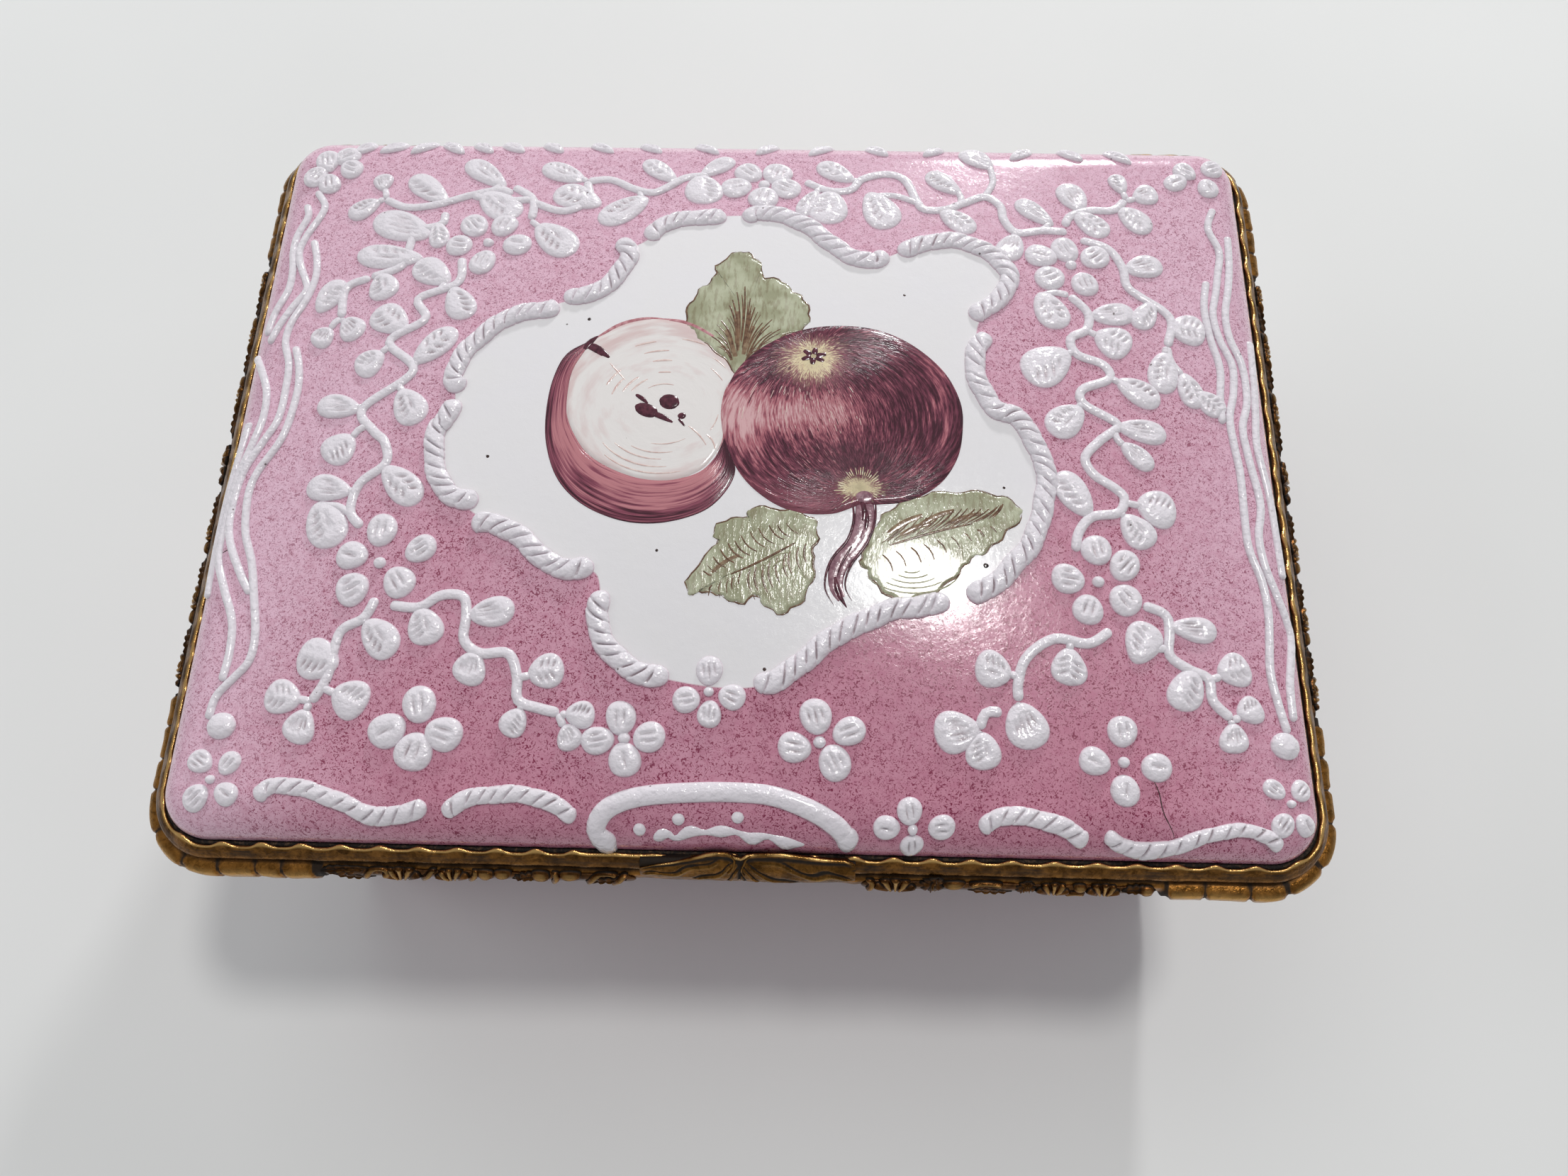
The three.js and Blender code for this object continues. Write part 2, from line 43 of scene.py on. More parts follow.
# Sizes that the pieces share with the solids
plan = {"halfX": 42.5, "halfY": 31.6, "corner": 3.6, "leastCorner": 0.8}
lidForm = {
    "foot": 33.46, "start": 33.9, "shoulderRise": 2.5, "shoulderWidth": 3.0, "crownRise": 4.1, "wall": 1.3,
}
baseForm = {
    "rim": 32.49, "inset": 0.3, "taper": 2.3, "power": 1.35, "leanFrom": 28.29,
    "bottomRadius": 3.6, "wall": 1.4,
}


def outlineLegs():
    # Lengths round the enamel's outline from the middle of the front, anticlockwise seen from above
    arc = plan["corner"] * math.pi / 2
    longSide = 2 * (plan["halfX"] - plan["corner"])
    shortSide = 2 * (plan["halfY"] - plan["corner"])
    return [longSide / 2, arc, shortSide, arc, longSide, arc, shortSide, arc, longSide / 2]


legEnds = np.cumsum([0.0] + outlineLegs())
roundLength = legEnds[-1]


def around(s, offset):
    # Place and outward direction at s along the outline, moved outwards by offset
    s, offset = np.broadcast_arrays(np.mod(s, roundLength), offset)
    a = plan["halfX"] - plan["corner"]
    b = plan["halfY"] - plan["corner"]
    leg = np.clip(np.searchsorted(legEnds, s, side="right") - 1, 0, 8)
    along = s - legEnds[leg]
    isArc = leg % 2 == 1
    angle = -math.pi / 2 + ((leg // 2) % 4) * math.pi / 2 + np.where(isArc, along / plan["corner"], 0)
    nx, ny = np.cos(angle), np.sin(angle)
    middles = np.array([(0, -b), (a, -b), (a, -b), (a, b), (a, b), (-a, b), (-a, b), (-a, -b), (-a, -b)])
    radius = np.maximum(plan["corner"] + offset, plan["leastCorner"])
    shrink = plan["corner"] + offset - radius
    alongX, alongY = (a + shrink) / a, (b + shrink) / b
    stretch = np.where(leg % 4 == 2, alongY, alongX)
    straight = np.where(isArc, 0, along * stretch)
    x = middles[leg, 0] * alongX + radius * nx - straight * ny
    y = middles[leg, 1] * alongY + radius * ny + straight * nx
    return x, y, nx, ny


def insetOf(x, y):
    qx = np.abs(x) - (plan["halfX"] - plan["corner"])
    qy = np.abs(y) - (plan["halfY"] - plan["corner"])
    return plan["corner"] - np.hypot(np.maximum(qx, 0), np.maximum(qy, 0)) - np.minimum(np.maximum(qx, qy), 0)


def quarterRound(share):
    return np.sqrt(np.clip(1 - (1 - np.minimum(1, share)) ** 2, 0, 1))


def smoothStep(low, high, value):
    t = np.clip((value - low) / (high - low), 0, 1)
    return t * t * (3 - 2 * t)


def lidTop(x, y):
    crossX = 1 - np.minimum(1, (x / plan["halfX"]) ** 2)
    crossY = 1 - np.minimum(1, (y / plan["halfY"]) ** 2)
    shoulder = lidForm["shoulderRise"] * quarterRound(insetOf(x, y) / lidForm["shoulderWidth"])
    return lidForm["start"] + shoulder + lidForm["crownRise"] * crossX * crossY


def onLid(x, y, rise):
    # A point that stands rise above the lid's enamel, square to it
    step = 0.06
    slopeX = (lidTop(x + step, y) - lidTop(x - step, y)) / (2 * step)
    slopeY = (lidTop(x, y + step) - lidTop(x, y - step)) / (2 * step)
    size = np.sqrt(1 + slopeX ** 2 + slopeY ** 2)
    return np.stack([x - slopeX * rise / size, y - slopeY * rise / size, lidTop(x, y) + rise / size], axis=-1)


def wallOffset(z):
    lean = np.clip((baseForm["leanFrom"] - z) / (baseForm["leanFrom"] - baseForm["bottomRadius"]), 0, 1)
    return -baseForm["inset"] - baseForm["taper"] * lean ** baseForm["power"]


def onWall(s, z, rise):
    # The same for the base's wall: s runs round the box and z up
    slope = (wallOffset(z + 0.1) - wallOffset(z - 0.1)) / 0.2
    size = np.sqrt(1 + slope ** 2)
    x, y, nx, ny = around(s, wallOffset(z))
    return np.stack([x + nx * rise / size, y + ny * rise / size, z - slope * rise / size], axis=-1)


# The girdle's face, unrolled: girth from its lower edge to its top, with offset, height and the way it faces
girdleFace = {
    "girth": [-1.3, -0.7, 0.0, 0.7, 1.12, 1.5, 2.3],
    "offset": [1.3, 1.85, 1.9, 1.88, 1.68, 1.58, 1.54],
    "height": [30.25, 30.8, 31.5, 32.15, 32.45, 32.65, 33.35],
    "facing": [-50, -15, 0, 20, 40, 25, 8],
}


def onGirdle(s, girth, rise):
    face = [np.interp(girth, girdleFace["girth"], girdleFace[key]) for key in ("offset", "height", "facing")]
    turn = np.radians(face[2])
    x, y = around(s, face[0] + rise * np.cos(turn))[:2]
    return np.stack([x, y, face[1] + rise * np.sin(turn)], axis=-1)


# Mesh helpers

def seal(piece):
    # Edges that meet are merged, and the faces of the closed body point outwards
    bpy.ops.object.select_all(action="DESELECT")
    piece.select_set(True)
    bpy.context.view_layer.objects.active = piece
    bpy.ops.object.mode_set(mode="EDIT")
    bpy.ops.mesh.select_all(action="SELECT")
    bpy.ops.mesh.remove_doubles(threshold=3e-7)
    bpy.ops.mesh.dissolve_degenerate(threshold=1e-7)
    bpy.ops.mesh.normals_make_consistent(inside=False)
    bpy.ops.object.mode_set(mode="OBJECT")
    bpy.ops.object.shade_smooth()
    return piece


def mark(piece, name, values):
    layer = piece.data.attributes.new(name, "FLOAT", "POINT")
    layer.data.foreach_set("value", np.asarray(values, dtype=np.float32).ravel())


def wrapped(name, points, marks=None):
    # A grid primitive whose vertices are set on points: rows, columns, then x, y and z
    rows, columns = points.shape[:2]
    bpy.ops.object.select_all(action="DESELECT")
    bpy.ops.mesh.primitive_grid_add(x_subdivisions=columns - 1, y_subdivisions=rows - 1, size=1)
    piece = bpy.context.object
    piece.name = piece.data.name = name
    piece.data.vertices.foreach_set("co", (points * mm).ravel())
    for key, values in (marks or {}).items():
        mark(piece, key, np.broadcast_to(values, (rows, columns)))
    return seal(piece)


def closed(array):
    # The first column once more at the end, so that the columns close into a ring
    return np.concatenate([array, array[:, :1]], axis=1)


def joined(pieces, name):
    bpy.ops.object.select_all(action="DESELECT")
    for piece in pieces:
        piece.select_set(True)
    bpy.context.view_layer.objects.active = pieces[0]
    if len(pieces) > 1:
        bpy.ops.object.join()
    pieces[0].name = pieces[0].data.name = name
    return pieces[0]


def dressed(piece, material, body, slotName, *replaced):
    piece.data.materials.clear()
    piece.data.materials.append(material)
    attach(piece, body)
    if replaced:
        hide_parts(*replaced)
    return piece


def smoothPath(points, parts=12, loop=False):
    # A rounded line through the points
    p = np.array(points, float)
    if loop:
        p = np.vstack([p[-1], p, p[0], p[1]])
    else:
        p = np.vstack([2 * p[0] - p[1], p, 2 * p[-1] - p[-2]])
    t = np.linspace(0, 1, parts + 1)[:-1, None]
    line = []
    for a, b, c, d in zip(p[:-3], p[1:-2], p[2:-1], p[3:]):
        bend, twist = 2 * a - 5 * b + 4 * c - d, 3 * b - a - 3 * c + d
        line.append(0.5 * (2 * b + (c - a) * t + bend * t ** 2 + twist * t ** 3))
    return np.vstack(line + [p[-2][None]])


def ridge(name, points, surface, wide, high, sink=0.12, step=0.35, sides=9, swell=None, slits=None,
          slant=0.0):
    # A raised line on a surface. wide is half its width; slits are cut across it at the given spacing
    line = smoothPath(points)
    runs = np.concatenate([[0], np.cumsum(np.hypot(*np.diff(line, axis=0).T))])
    total = runs[-1]
    cutAt = np.zeros(0)
    if slits:
        count = max(1, int(round((total - wide) / slits)))
        cutAt = np.linspace(wide * 0.8, total - wide * 0.8, count + 1)[:-1] + (total - 1.6 * wide) / count / 2
        cutAt = cutAt + chance.uniform(-0.16, 0.16, count) * slits
        body = np.concatenate([cutAt + d for d in (-0.42, -0.26, -0.13, -0.05, 0.0, 0.05, 0.13, 0.26, 0.42)])
    else:
        body = np.linspace(wide, total - wide, max(2, int((total - 2 * wide) / step) + 1))
    capEnds = wide * np.array([0, 0.05, 0.18, 0.4, 0.7])
    stations = np.unique(np.clip(np.concatenate([capEnds, body, total - capEnds]), 0, total))
    toEnd = np.minimum(stations, total - stations)
    full = quarterRound(toEnd / wide) if swell is None else swell(stations / total)
    angle = np.linspace(0, np.pi, sides)
    across, up = np.cos(angle), np.sin(angle) ** 0.8
    cut = np.zeros((len(stations), sides))
    if slits:
        # Each slit has its own reach and place across the rope
        gap = np.abs(stations[:, None] - cutAt[None])
        nearest = gap.argmin(axis=1)
        reach = chance.uniform(0.45, 0.8, len(cutAt))[nearest][:, None]
        middle = chance.uniform(-0.16, 0.16, len(cutAt))[nearest][:, None]
        along = np.exp(-(gap.min(axis=1) / 0.1) ** 2)[:, None]
        cut = along * (1 - smoothStep(reach - 0.2, reach + 0.15, np.abs(across[None] - middle)))
        full = full * (1 - 0.06 * along[:, 0]) * (1 + 0.06 * np.sin(stations * 2.1 + total))
    a = across[None] * wide * full[:, None]
    s = np.clip(stations[:, None] + slant * smoothStep(0.2, 2.2, toEnd / wide)[:, None] * a, 0, total)
    x, y = np.interp(s, runs, line[:, 0]), np.interp(s, runs, line[:, 1])
    tx = np.interp(s, runs, np.gradient(line[:, 0]))
    ty = np.interp(s, runs, np.gradient(line[:, 1]))
    size = np.hypot(tx, ty) + 1e-9
    lift = up[None] * full[:, None] * (1 - 0.55 * cut)
    points3d = surface(x - ty / size * a, y + tx / size * a, (high + sink) * lift - sink)
    return wrapped(name, closed(points3d), {"rise": closed(lift), "slit": closed(cut)})


def makePad(name, slits, columns, rows):
    # One rounded boss of radius 1, cut by short slits, each a line from (a, b) to (c, d).
    # It is the pattern for every petal and leaf: -1 is where it meets its stem
    a = np.concatenate([[-1, -0.985], np.linspace(-0.94, 0.94, columns), [0.985, 1]])
    t = np.concatenate([[-1, -0.97], np.linspace(-0.9, 0.9, rows), [0.97, 1, -1]])[:, None]
    b = t * np.sqrt(np.clip(1 - a ** 2, 0, 1))[None]
    a = np.broadcast_to(a, b.shape)
    rise = np.sqrt(np.clip(1 - np.hypot(a, b) ** 3.2, 0, 1))
    cut = np.zeros_like(rise)
    for x0, y0, x1, y1 in slits:
        length = (x1 - x0) ** 2 + (y1 - y0) ** 2
        along = np.clip(((a - x0) * (x1 - x0) + (b - y0) * (y1 - y0)) / length, 0, 1)
        away = np.hypot(a - x0 - along * (x1 - x0), b - y0 - along * (y1 - y0))
        depth = np.sin(np.pi * np.clip(along, 0.12, 0.88)) ** 0.5
        cut = np.maximum(cut, np.exp(-(away / 0.085) ** 2) * depth)
    rise = rise * (1 - 0.6 * cut)
    return wrapped(name, np.stack([a, b, rise], axis=-1), {"rise": rise, "slit": cut})


padSlits = {
    "plain": [],
    "two": [(-0.4, -0.2, 0.42, -0.26), (-0.45, 0.24, 0.36, 0.2)],
    "three": [(-0.3, -0.46, 0.34, -0.4), (-0.5, 0.02, 0.42, -0.04), (-0.26, 0.44, 0.36, 0.4)],
    "one": [(-0.34, 0.1, 0.42, -0.02)],
    "leafRight": [(-0.5, -0.14, -0.36, -0.46), (-0.24, -0.14, -0.06, -0.6), (0.04, -0.12, 0.24, -0.6),
                  (0.32, -0.1, 0.52, -0.5), (-0.3, 0.2, 0.3, 0.16)],
    "leafLeft": [(-0.42, 0.14, -0.24, 0.5), (-0.12, 0.14, 0.08, 0.62), (0.18, 0.12, 0.4, 0.56),
                 (0.46, 0.08, 0.64, 0.4)],
    "leafBoth": [(-0.38, -0.2, -0.16, -0.58), (-0.04, -0.18, 0.16, -0.6), (0.28, -0.14, 0.48, -0.48),
                 (-0.22, 0.22, -0.02, 0.6), (0.12, 0.2, 0.3, 0.58), (0.42, 0.14, 0.58, 0.4)],
    "leafRib": [(-0.5, 0.3, 0.1, 0.42), (-0.5, 0.06, 0.3, 0.12), (-0.42, -0.2, 0.36, -0.18),
                (-0.2, -0.46, 0.34, -0.44)],
}
# A plain boss carries no slits, so it is coarser
pads = {kind: makePad(f"pad{kind}", slits, *((25, 15) if slits else (9, 5)))
        for kind, slits in padSlits.items()}


def laid(pattern, surface, centre, size, angle=0.0, high=0.42, sink=0.1, taper=0.0, uneven=0.0):
    # A copy of a pattern, with its own mesh, sized, turned and laid on a surface
    copy = pattern.copy()
    copy.data = pattern.data.copy()
    bpy.context.collection.objects.link(copy)
    co = np.zeros(len(copy.data.vertices) * 3)
    copy.data.vertices.foreach_get("co", co)
    a, b, rise = (co.reshape(-1, 3) / mm).T
    turn = np.arctan2(b, a)
    twoLobes, threeLobes = chance.uniform(0, 6, 2)
    grow = 1 + uneven * (np.sin(2 * turn + twoLobes) + 0.4 * np.sin(3 * turn + threeLobes))
    u, v = a * grow * size[0] / 2, b * grow * (1 + taper * a) * size[1] / 2
    x = centre[0] + u * math.cos(angle) - v * math.sin(angle)
    y = centre[1] + u * math.sin(angle) + v * math.cos(angle)
    copy.data.vertices.foreach_set("co", (surface(x, y, rise * (high + sink) - sink) * mm).ravel())
    copy.data.update()
    return copy


def patch(name, outline, centre, surface, lift=0.03, sink=0.06, parts=10):
    # A painted area: a thin closed skin inside an outline that can be seen whole from its centre
    edge = smoothPath(outline, parts, loop=True)[:-1]
    shares = np.array([0, 0.2, 0.4, 0.6, 0.8, 0.93, 0.99, 1.0, 0.6, 0.3, 0])[:, None]
    rises = np.array([1, 1, 1, 1, 1, 1, 1, 0, 0, 0, 0])[:, None] * (lift + sink) - sink
    x = centre[0] + shares * (edge[None, :, 0] - centre[0])
    y = centre[1] + shares * (edge[None, :, 1] - centre[1])
    return wrapped(name, closed(surface(x, y, rises + 0 * x)))


def strip(name, edgeA, edgeB, surface, lift=0.03, sink=0.06, parts=80):
    # A painted band between two lines that meet at both ends
    def spread(points):
        line = smoothPath(points)
        runs = np.concatenate([[0], np.cumsum(np.hypot(*np.diff(line, axis=0).T))])
        at = np.linspace(0, runs[-1], parts)
        return np.stack([np.interp(at, runs, line[:, 0]), np.interp(at, runs, line[:, 1])], axis=-1)
    a, b = spread(edgeA)[:, None], spread(edgeB)[:, None]
    shares = np.array([0, 0.05, 0.2, 0.4, 0.6, 0.8, 0.95, 1])[None, :, None]
    ends = np.abs(np.linspace(-1, 1, parts))[:, None]
    rises = np.array([0, 1, 1, 1, 1, 1, 1, 0])[None] * (ends < 0.999) * (lift + sink) - sink
    points = a + (b - a) * shares
    return wrapped(name, closed(surface(points[..., 0], points[..., 1], rises)))


# Materials

def shade(red, green, blue):
    # A colour as it looks on a screen, 0 to 255
    def linear(value):
        value = value / 255
        return value / 12.92 if value <= 0.04045 else ((value + 0.055) / 1.055) ** 2.4
    return (linear(red), linear(green), linear(blue), 1.0)


class Wire:
    # A socket of a material. Arithmetic on it adds Math nodes
    def __init__(self, paint, socket):
        self.paint = paint
        self.socket = socket

    def math(self, operation, *values):
        return self.paint.node("ShaderNodeMath", {"operation": operation}, dict(enumerate(values)))

    def __add__(self, other):
        return self.math("ADD", self, other)

    def __sub__(self, other):
        return self.math("SUBTRACT", self, other)

    def __rsub__(self, other):
        return self.math("SUBTRACT", other, self)

    def __mul__(self, other):
        return self.math("MULTIPLY", self, other)

    def __truediv__(self, other):
        return self.math("DIVIDE", self, other)

    __radd__ = __add__
    __rmul__ = __mul__

    def root(self):
        return self.math("SQRT", self)

    def log(self):
        return self.math("LOGARITHM", self, math.e)

    def exp(self):
        return self.math("EXPONENT", self)

    def within(self, low, high):
        # 0 at low, 1 at high, smooth between them
        span = {"Value": self, "From Min": low, "From Max": high}
        return self.paint.node("ShaderNodeMapRange", {"interpolation_type": "SMOOTHSTEP"}, span)


class Paint:
    # One material and its nodes
    def __init__(self, name):
        self.material = bpy.data.materials.new(name)
        self.material.use_nodes = True
        self.tree = self.material.node_tree
        self.shader = self.tree.nodes["Principled BSDF"]

    def node(self, kind, settings=None, values=None, output=0):
        made = self.tree.nodes.new(kind)
        for key, value in (settings or {}).items():
            setattr(made, key, value)
        for key, value in (values or {}).items():
            if isinstance(value, Wire):
                self.tree.links.new(value.socket, made.inputs[key])
            else:
                made.inputs[key].default_value = value
        return Wire(self, made.outputs[output])

    def spot(self, *stretch):
        # The place on the piece in millimetres, stretched along x, y and z if asked
        place = self.node("ShaderNodeTexCoord", output=3)
        scale = [1000 * f for f in (stretch or (1, 1, 1))]
        return self.node("ShaderNodeVectorMath", {"operation": "MULTIPLY"}, {0: place, 1: scale})

    def parts(self, vector):
        split = self.node("ShaderNodeSeparateXYZ", values={0: vector})
        return [Wire(self, output) for output in split.socket.node.outputs]

    def vector(self, x, y, z):
        return self.node("ShaderNodeCombineXYZ", values={0: x, 1: y, 2: z})

    def noise(self, vector, scale, detail=2.0, rough=0.5, twist=0.0):
        values = {"Vector": vector, "Scale": scale, "Detail": detail, "Roughness": rough, "Distortion": twist}
        return self.node("ShaderNodeTexNoise", values=values)

    def cells(self, vector, scale):
        return self.node("ShaderNodeTexVoronoi", values={"Vector": vector, "Scale": scale})

    def marked(self, name):
        return self.node("ShaderNodeAttribute", {"attribute_name": name}, output=2)

    def mix(self, share, a, b):
        return self.node("ShaderNodeMix", {"data_type": "RGBA"}, {0: share, 6: a, 7: b}, output=2)

    def bump(self, height, depth):
        # depth is in millimetres
        values = {"Height": height, "Distance": depth * mm, "Strength": 1.0}
        return self.node("ShaderNodeBump", values=values)

    def done(self, **sockets):
        for key, value in sockets.items():
            name = {"color": "Base Color", "metal": "Metallic", "rough": "Roughness", "normal": "Normal",
                    "coat": "Coat Weight", "coatRough": "Coat Roughness"}[key]
            if isinstance(value, Wire):
                self.tree.links.new(value.socket, self.shader.inputs[name])
            else:
                self.shader.inputs[name].default_value = value
        return self.material

    def glazed(self, color, rough, height, depth, coatRough=0.06):
        # Paint under a thin glaze, with its strokes standing up a little
        normal = self.bump(height, depth)
        return self.done(color=color, rough=rough, normal=normal, coat=0.3, coatRough=coatRough)


enamelTones = {
    "pink": shade(196, 134, 153), "palePink": shade(223, 186, 203), "blush": shade(180, 110, 134),
    "rose": shade(124, 30, 66), "white": shade(226, 223, 226), "lining": shade(227, 225, 218),
    "raised": shade(228, 222, 227), "raisedEdge": shade(212, 168, 188), "slit": shade(168, 148, 154),
}


def pinkEnamel(name, onBase):
    # Stippled pink ground; the mark reserve is the distance into the white panel, lining is the inside
    paint = Paint(name)
    spot = paint.spot()
    x, y = paint.parts(spot)[:2]
    drift = paint.noise(spot, 0.05, 2)
    grain = paint.noise(spot, 3.6, 2, 0.6, 1.9)
    fine = paint.noise(spot, 8.0, 2, 0.6)
    clouds = paint.noise(spot, 1.5, 3, 0.6).within(0.42, 0.68)
    dense = paint.noise(spot, 0.18, 2).within(0.3, 0.6)
    if onBase:
        fade = drift.within(0.4, 0.65) * 0.6
    else:
        # On the lid the ground pales towards the back and the sides: partly the enamel's own tone, where the
        # specks thin out, partly a painted sheen where the back catches the light
        sideways = (x - 5) * (x - 5) * 0.00057
        fade = (sideways * sideways * 0.7 + y * 0.018 + drift * 0.9 - 0.16).within(-0.3, 0.9)
    ground = paint.mix(fade, enamelTones["pink"], enamelTones["palePink"])
    ground = paint.mix(clouds * (0.5 - fade * 0.28), ground, enamelTones["blush"])
    ground = paint.mix(fine.within(0.52, 0.64) * 0.34, ground, enamelTones["blush"])
    specks = grain.within(0.555, 0.59) * (dense * 0.3 + 0.7) * (1 - fade * 0.4)
    color = paint.mix(specks, ground, enamelTones["rose"])
    white = paint.mix(paint.noise(spot, 0.2, 2) * 0.4, enamelTones["white"], enamelTones["lining"])
    pits = paint.cells(spot, 0.21).within(0.022, 0.012)
    white = paint.mix(pits * 0.8, white, shade(70, 60, 52))
    color = paint.mix(paint.marked("reserve").within(-0.08, 0.08), color, white)
    color = paint.mix(paint.marked("lining").within(0.45, 0.55), color, white)
    peel = paint.noise(spot, 0.9, 2, 0.5)
    skin = paint.bump(peel + grain * 0.3, 0.022)
    return paint.done(color=color, rough=0.14 + specks * 0.14, normal=skin, coat=0.25, coatRough=0.08)


def raisedEnamel():
    paint = Paint("raisedEnamel")
    spot = paint.spot()
    thin = paint.marked("rise").within(0.5, 0.05) * 0.8
    color = paint.mix(thin, enamelTones["raised"], enamelTones["raisedEdge"])
    mottle = paint.noise(spot, 1.4, 3).within(0.35, 0.75)
    color = paint.mix(mottle * 0.2, color, shade(208, 200, 207))
    # The slits are tinted grey-brown, more in some places than in others
    slitTintShare = paint.noise(spot, 0.35, 2).within(0.35, 0.7) * 0.65 + 0.15
    color = paint.mix(paint.marked("slit").within(0.2, 0.9) * slitTintShare, color, enamelTones["slit"])
    pits = paint.cells(spot, 0.42).within(0.05, 0.03)
    color = paint.mix(pits * 0.85, color, shade(84, 66, 66))
    lump = paint.bump(paint.noise(spot, 1.9, 2) + paint.noise(spot, 4.5, 2) * 0.2, 0.16)
    return paint.done(color=color, rough=0.06 + mottle * 0.05, normal=lump, coat=0.5, coatRough=0.04)


def giltPaint(name, ground, worn, dark=0.5):
    # Worn gilding: brown-gold ground; what stands out is bright, rubbed gilding with a painted highlight, and
    # the recesses are dark, patina with painted shade
    paint = Paint(name)
    spot = paint.spot()
    wearAndLight = paint.marked("wearAndLight")
    brushed = paint.noise(spot, 1.9, 4, 0.65, 0.6)
    blotch = paint.noise(spot, 0.6, 3)
    color = paint.mix(brushed.within(0.3, 0.7), ground, worn)
    color = paint.mix(blotch.within(0.45, 0.68) * dark, color, shade(44, 26, 14))
    # Painted highlight, with the rubbed gilding, where the mark is high
    color = paint.mix(wearAndLight.within(0.2, 0.85), color, shade(232, 186, 116))
    # Painted shade, with the patina, where the mark is low: darker, less metallic and rougher
    recess = (wearAndLight * -1).within(-0.02, 0.4)
    color = paint.mix(recess * 0.94, color, shade(14, 9, 6))
    grit = paint.noise(spot, 6.0, 3, 0.6)
    rough = 0.2 + brushed * 0.16 + recess * 0.45
    hammered = paint.bump(blotch * 0.8 + grit * 0.3, 0.13)
    return paint.done(color=color, metal=1 - recess * 0.7, rough=rough, normal=hammered)


def cementPaint():
    paint = Paint("darkCement")
    spot = paint.spot()
    crumbs = paint.noise(spot, 3.0, 4, 0.7)
    color = paint.mix(crumbs.within(0.45, 0.75), shade(24, 18, 15), shade(96, 74, 54))
    return paint.done(color=color, rough=0.88, normal=paint.bump(crumbs, 0.2))


def steelPaint():
    paint = Paint("pinSteel")
    drawn = paint.noise(paint.spot(0.2, 6, 6), 1.5, 3)
    color = paint.mix(drawn.within(0.3, 0.7), shade(132, 128, 120), shade(170, 166, 156))
    return paint.done(color=color, metal=1.0, rough=0.3 + drawn * 0.2, normal=paint.bump(drawn, 0.02))


def brushPaint(name, dark, light):
    # A painter's colour, thin and thick by turns
    paint = Paint(name)
    spot = paint.spot()
    body = paint.noise(spot, 2.4, 3, 0.6)
    color = paint.mix(body.within(0.3, 0.72), dark, light)
    return paint.glazed(color, 0.12 + body * 0.1, body, 0.03, 0.05)


# Where the painted fruit lies: eye and stem hollow of the whole one, heart of the cut one
fruit = {
    "eye": (5.05, 6.4), "hollow": (8.75, -5.05), "heart": (-6.6, 1.6),
    "dark": shade(60, 20, 34), "plum": shade(106, 48, 66), "rosy": shade(168, 98, 108),
    "lilac": shade(206, 164, 166), "cream": shade(234, 218, 178), "bottom": shade(150, 84, 98),
}


def applePaint():
    # Streaks follow the circles that run from the eye to the stem hollow
    paint = Paint("paintedAppleSkin")
    x, y = paint.parts(paint.spot())[:2]
    ex, ey = x - fruit["eye"][0], y - fruit["eye"][1]
    hx, hy = x - fruit["hollow"][0], y - fruit["hollow"][1]
    fromEye = (ex * ex + ey * ey).root() + 0.001
    fromHollow = (hx * hx + hy * hy).root() + 0.001
    both = fromEye * fromHollow
    cosine, sine = (ex * hx + ey * hy) / both, (ex * hy - ey * hx) / both
    travel = (fromEye / fromHollow).log()
    fine = paint.noise(paint.vector(cosine * 13.0, sine * 13.0, travel * 1.7), 2.6, 3, 0.65)
    broad = paint.noise(paint.vector(cosine * 2.6, sine * 2.6, travel * 0.6), 1.7, 2)
    streak = fine * 1.0 + broad * 0.35 - 0.67
    bandY = (y - 1.2 - (x - 4.0) * 0.08) / 2.0
    band = (bandY * bandY * -1).exp()
    reach = x.within(-6.0, 1.0) * x.within(11.5, 6.0)
    leftLimb = x.within(3.6, -2.4) * y.within(7.0, 2.0) * 0.34
    tone = band * reach * 0.7 + leftLimb + streak * 2.3 + 0.06
    color = paint.mix(tone.within(-0.16, 0.24), fruit["dark"], fruit["plum"])
    color = paint.mix(tone.within(0.2, 0.56), color, fruit["rosy"])
    color = paint.mix(tone.within(0.5, 1.05), color, fruit["lilac"])
    underside = y.within(-3.6, -7.2) * x.within(12.5, 7.0)
    color = paint.mix(underside * 0.55, color, fruit["bottom"])
    ragged = streak * 4.5
    lower = ey + 0.35
    eyeRing = (ex * ex * 0.62 + lower * lower * 0.85).root()
    color = paint.mix((eyeRing + ragged).within(2.3, 1.4) * 0.45, color, shade(206, 158, 148))
    color = paint.mix((eyeRing + ragged).within(1.65, 0.9), color, fruit["cream"])
    low = (hx * hx * 0.4 + hy * hy * 1.3).root() + ragged * 0.6
    color = paint.mix(low.within(1.15, 0.5), color, fruit["cream"])
    return paint.glazed(color, 0.14 + fine * 0.1, fine, 0.08)


def fleshPaint():
    # Soft strokes that ring the cut apple's heart
    paint = Paint("paintedFlesh")
    x, y = paint.parts(paint.spot())[:2]
    hx, hy = x - fruit["heart"][0], (y - fruit["heart"][1]) * 1.1
    distance = (hx * hx + hy * hy).root() + 0.001
    rings = paint.noise(paint.vector(hx / distance * 1.6, hy / distance * 1.6, distance * 0.9), 1.2, 3, 0.55)
    tint = rings.within(0.5, 0.72) * distance.within(1.6, 4.5) * 0.32
    color = paint.mix(tint, shade(225, 220, 217), shade(206, 176, 174))
    edge = distance.within(5.6, 7.6) * 0.45
    color = paint.mix(edge * rings.within(0.35, 0.6), color, shade(196, 154, 152))
    return paint.glazed(color, 0.15, rings, 0.04)


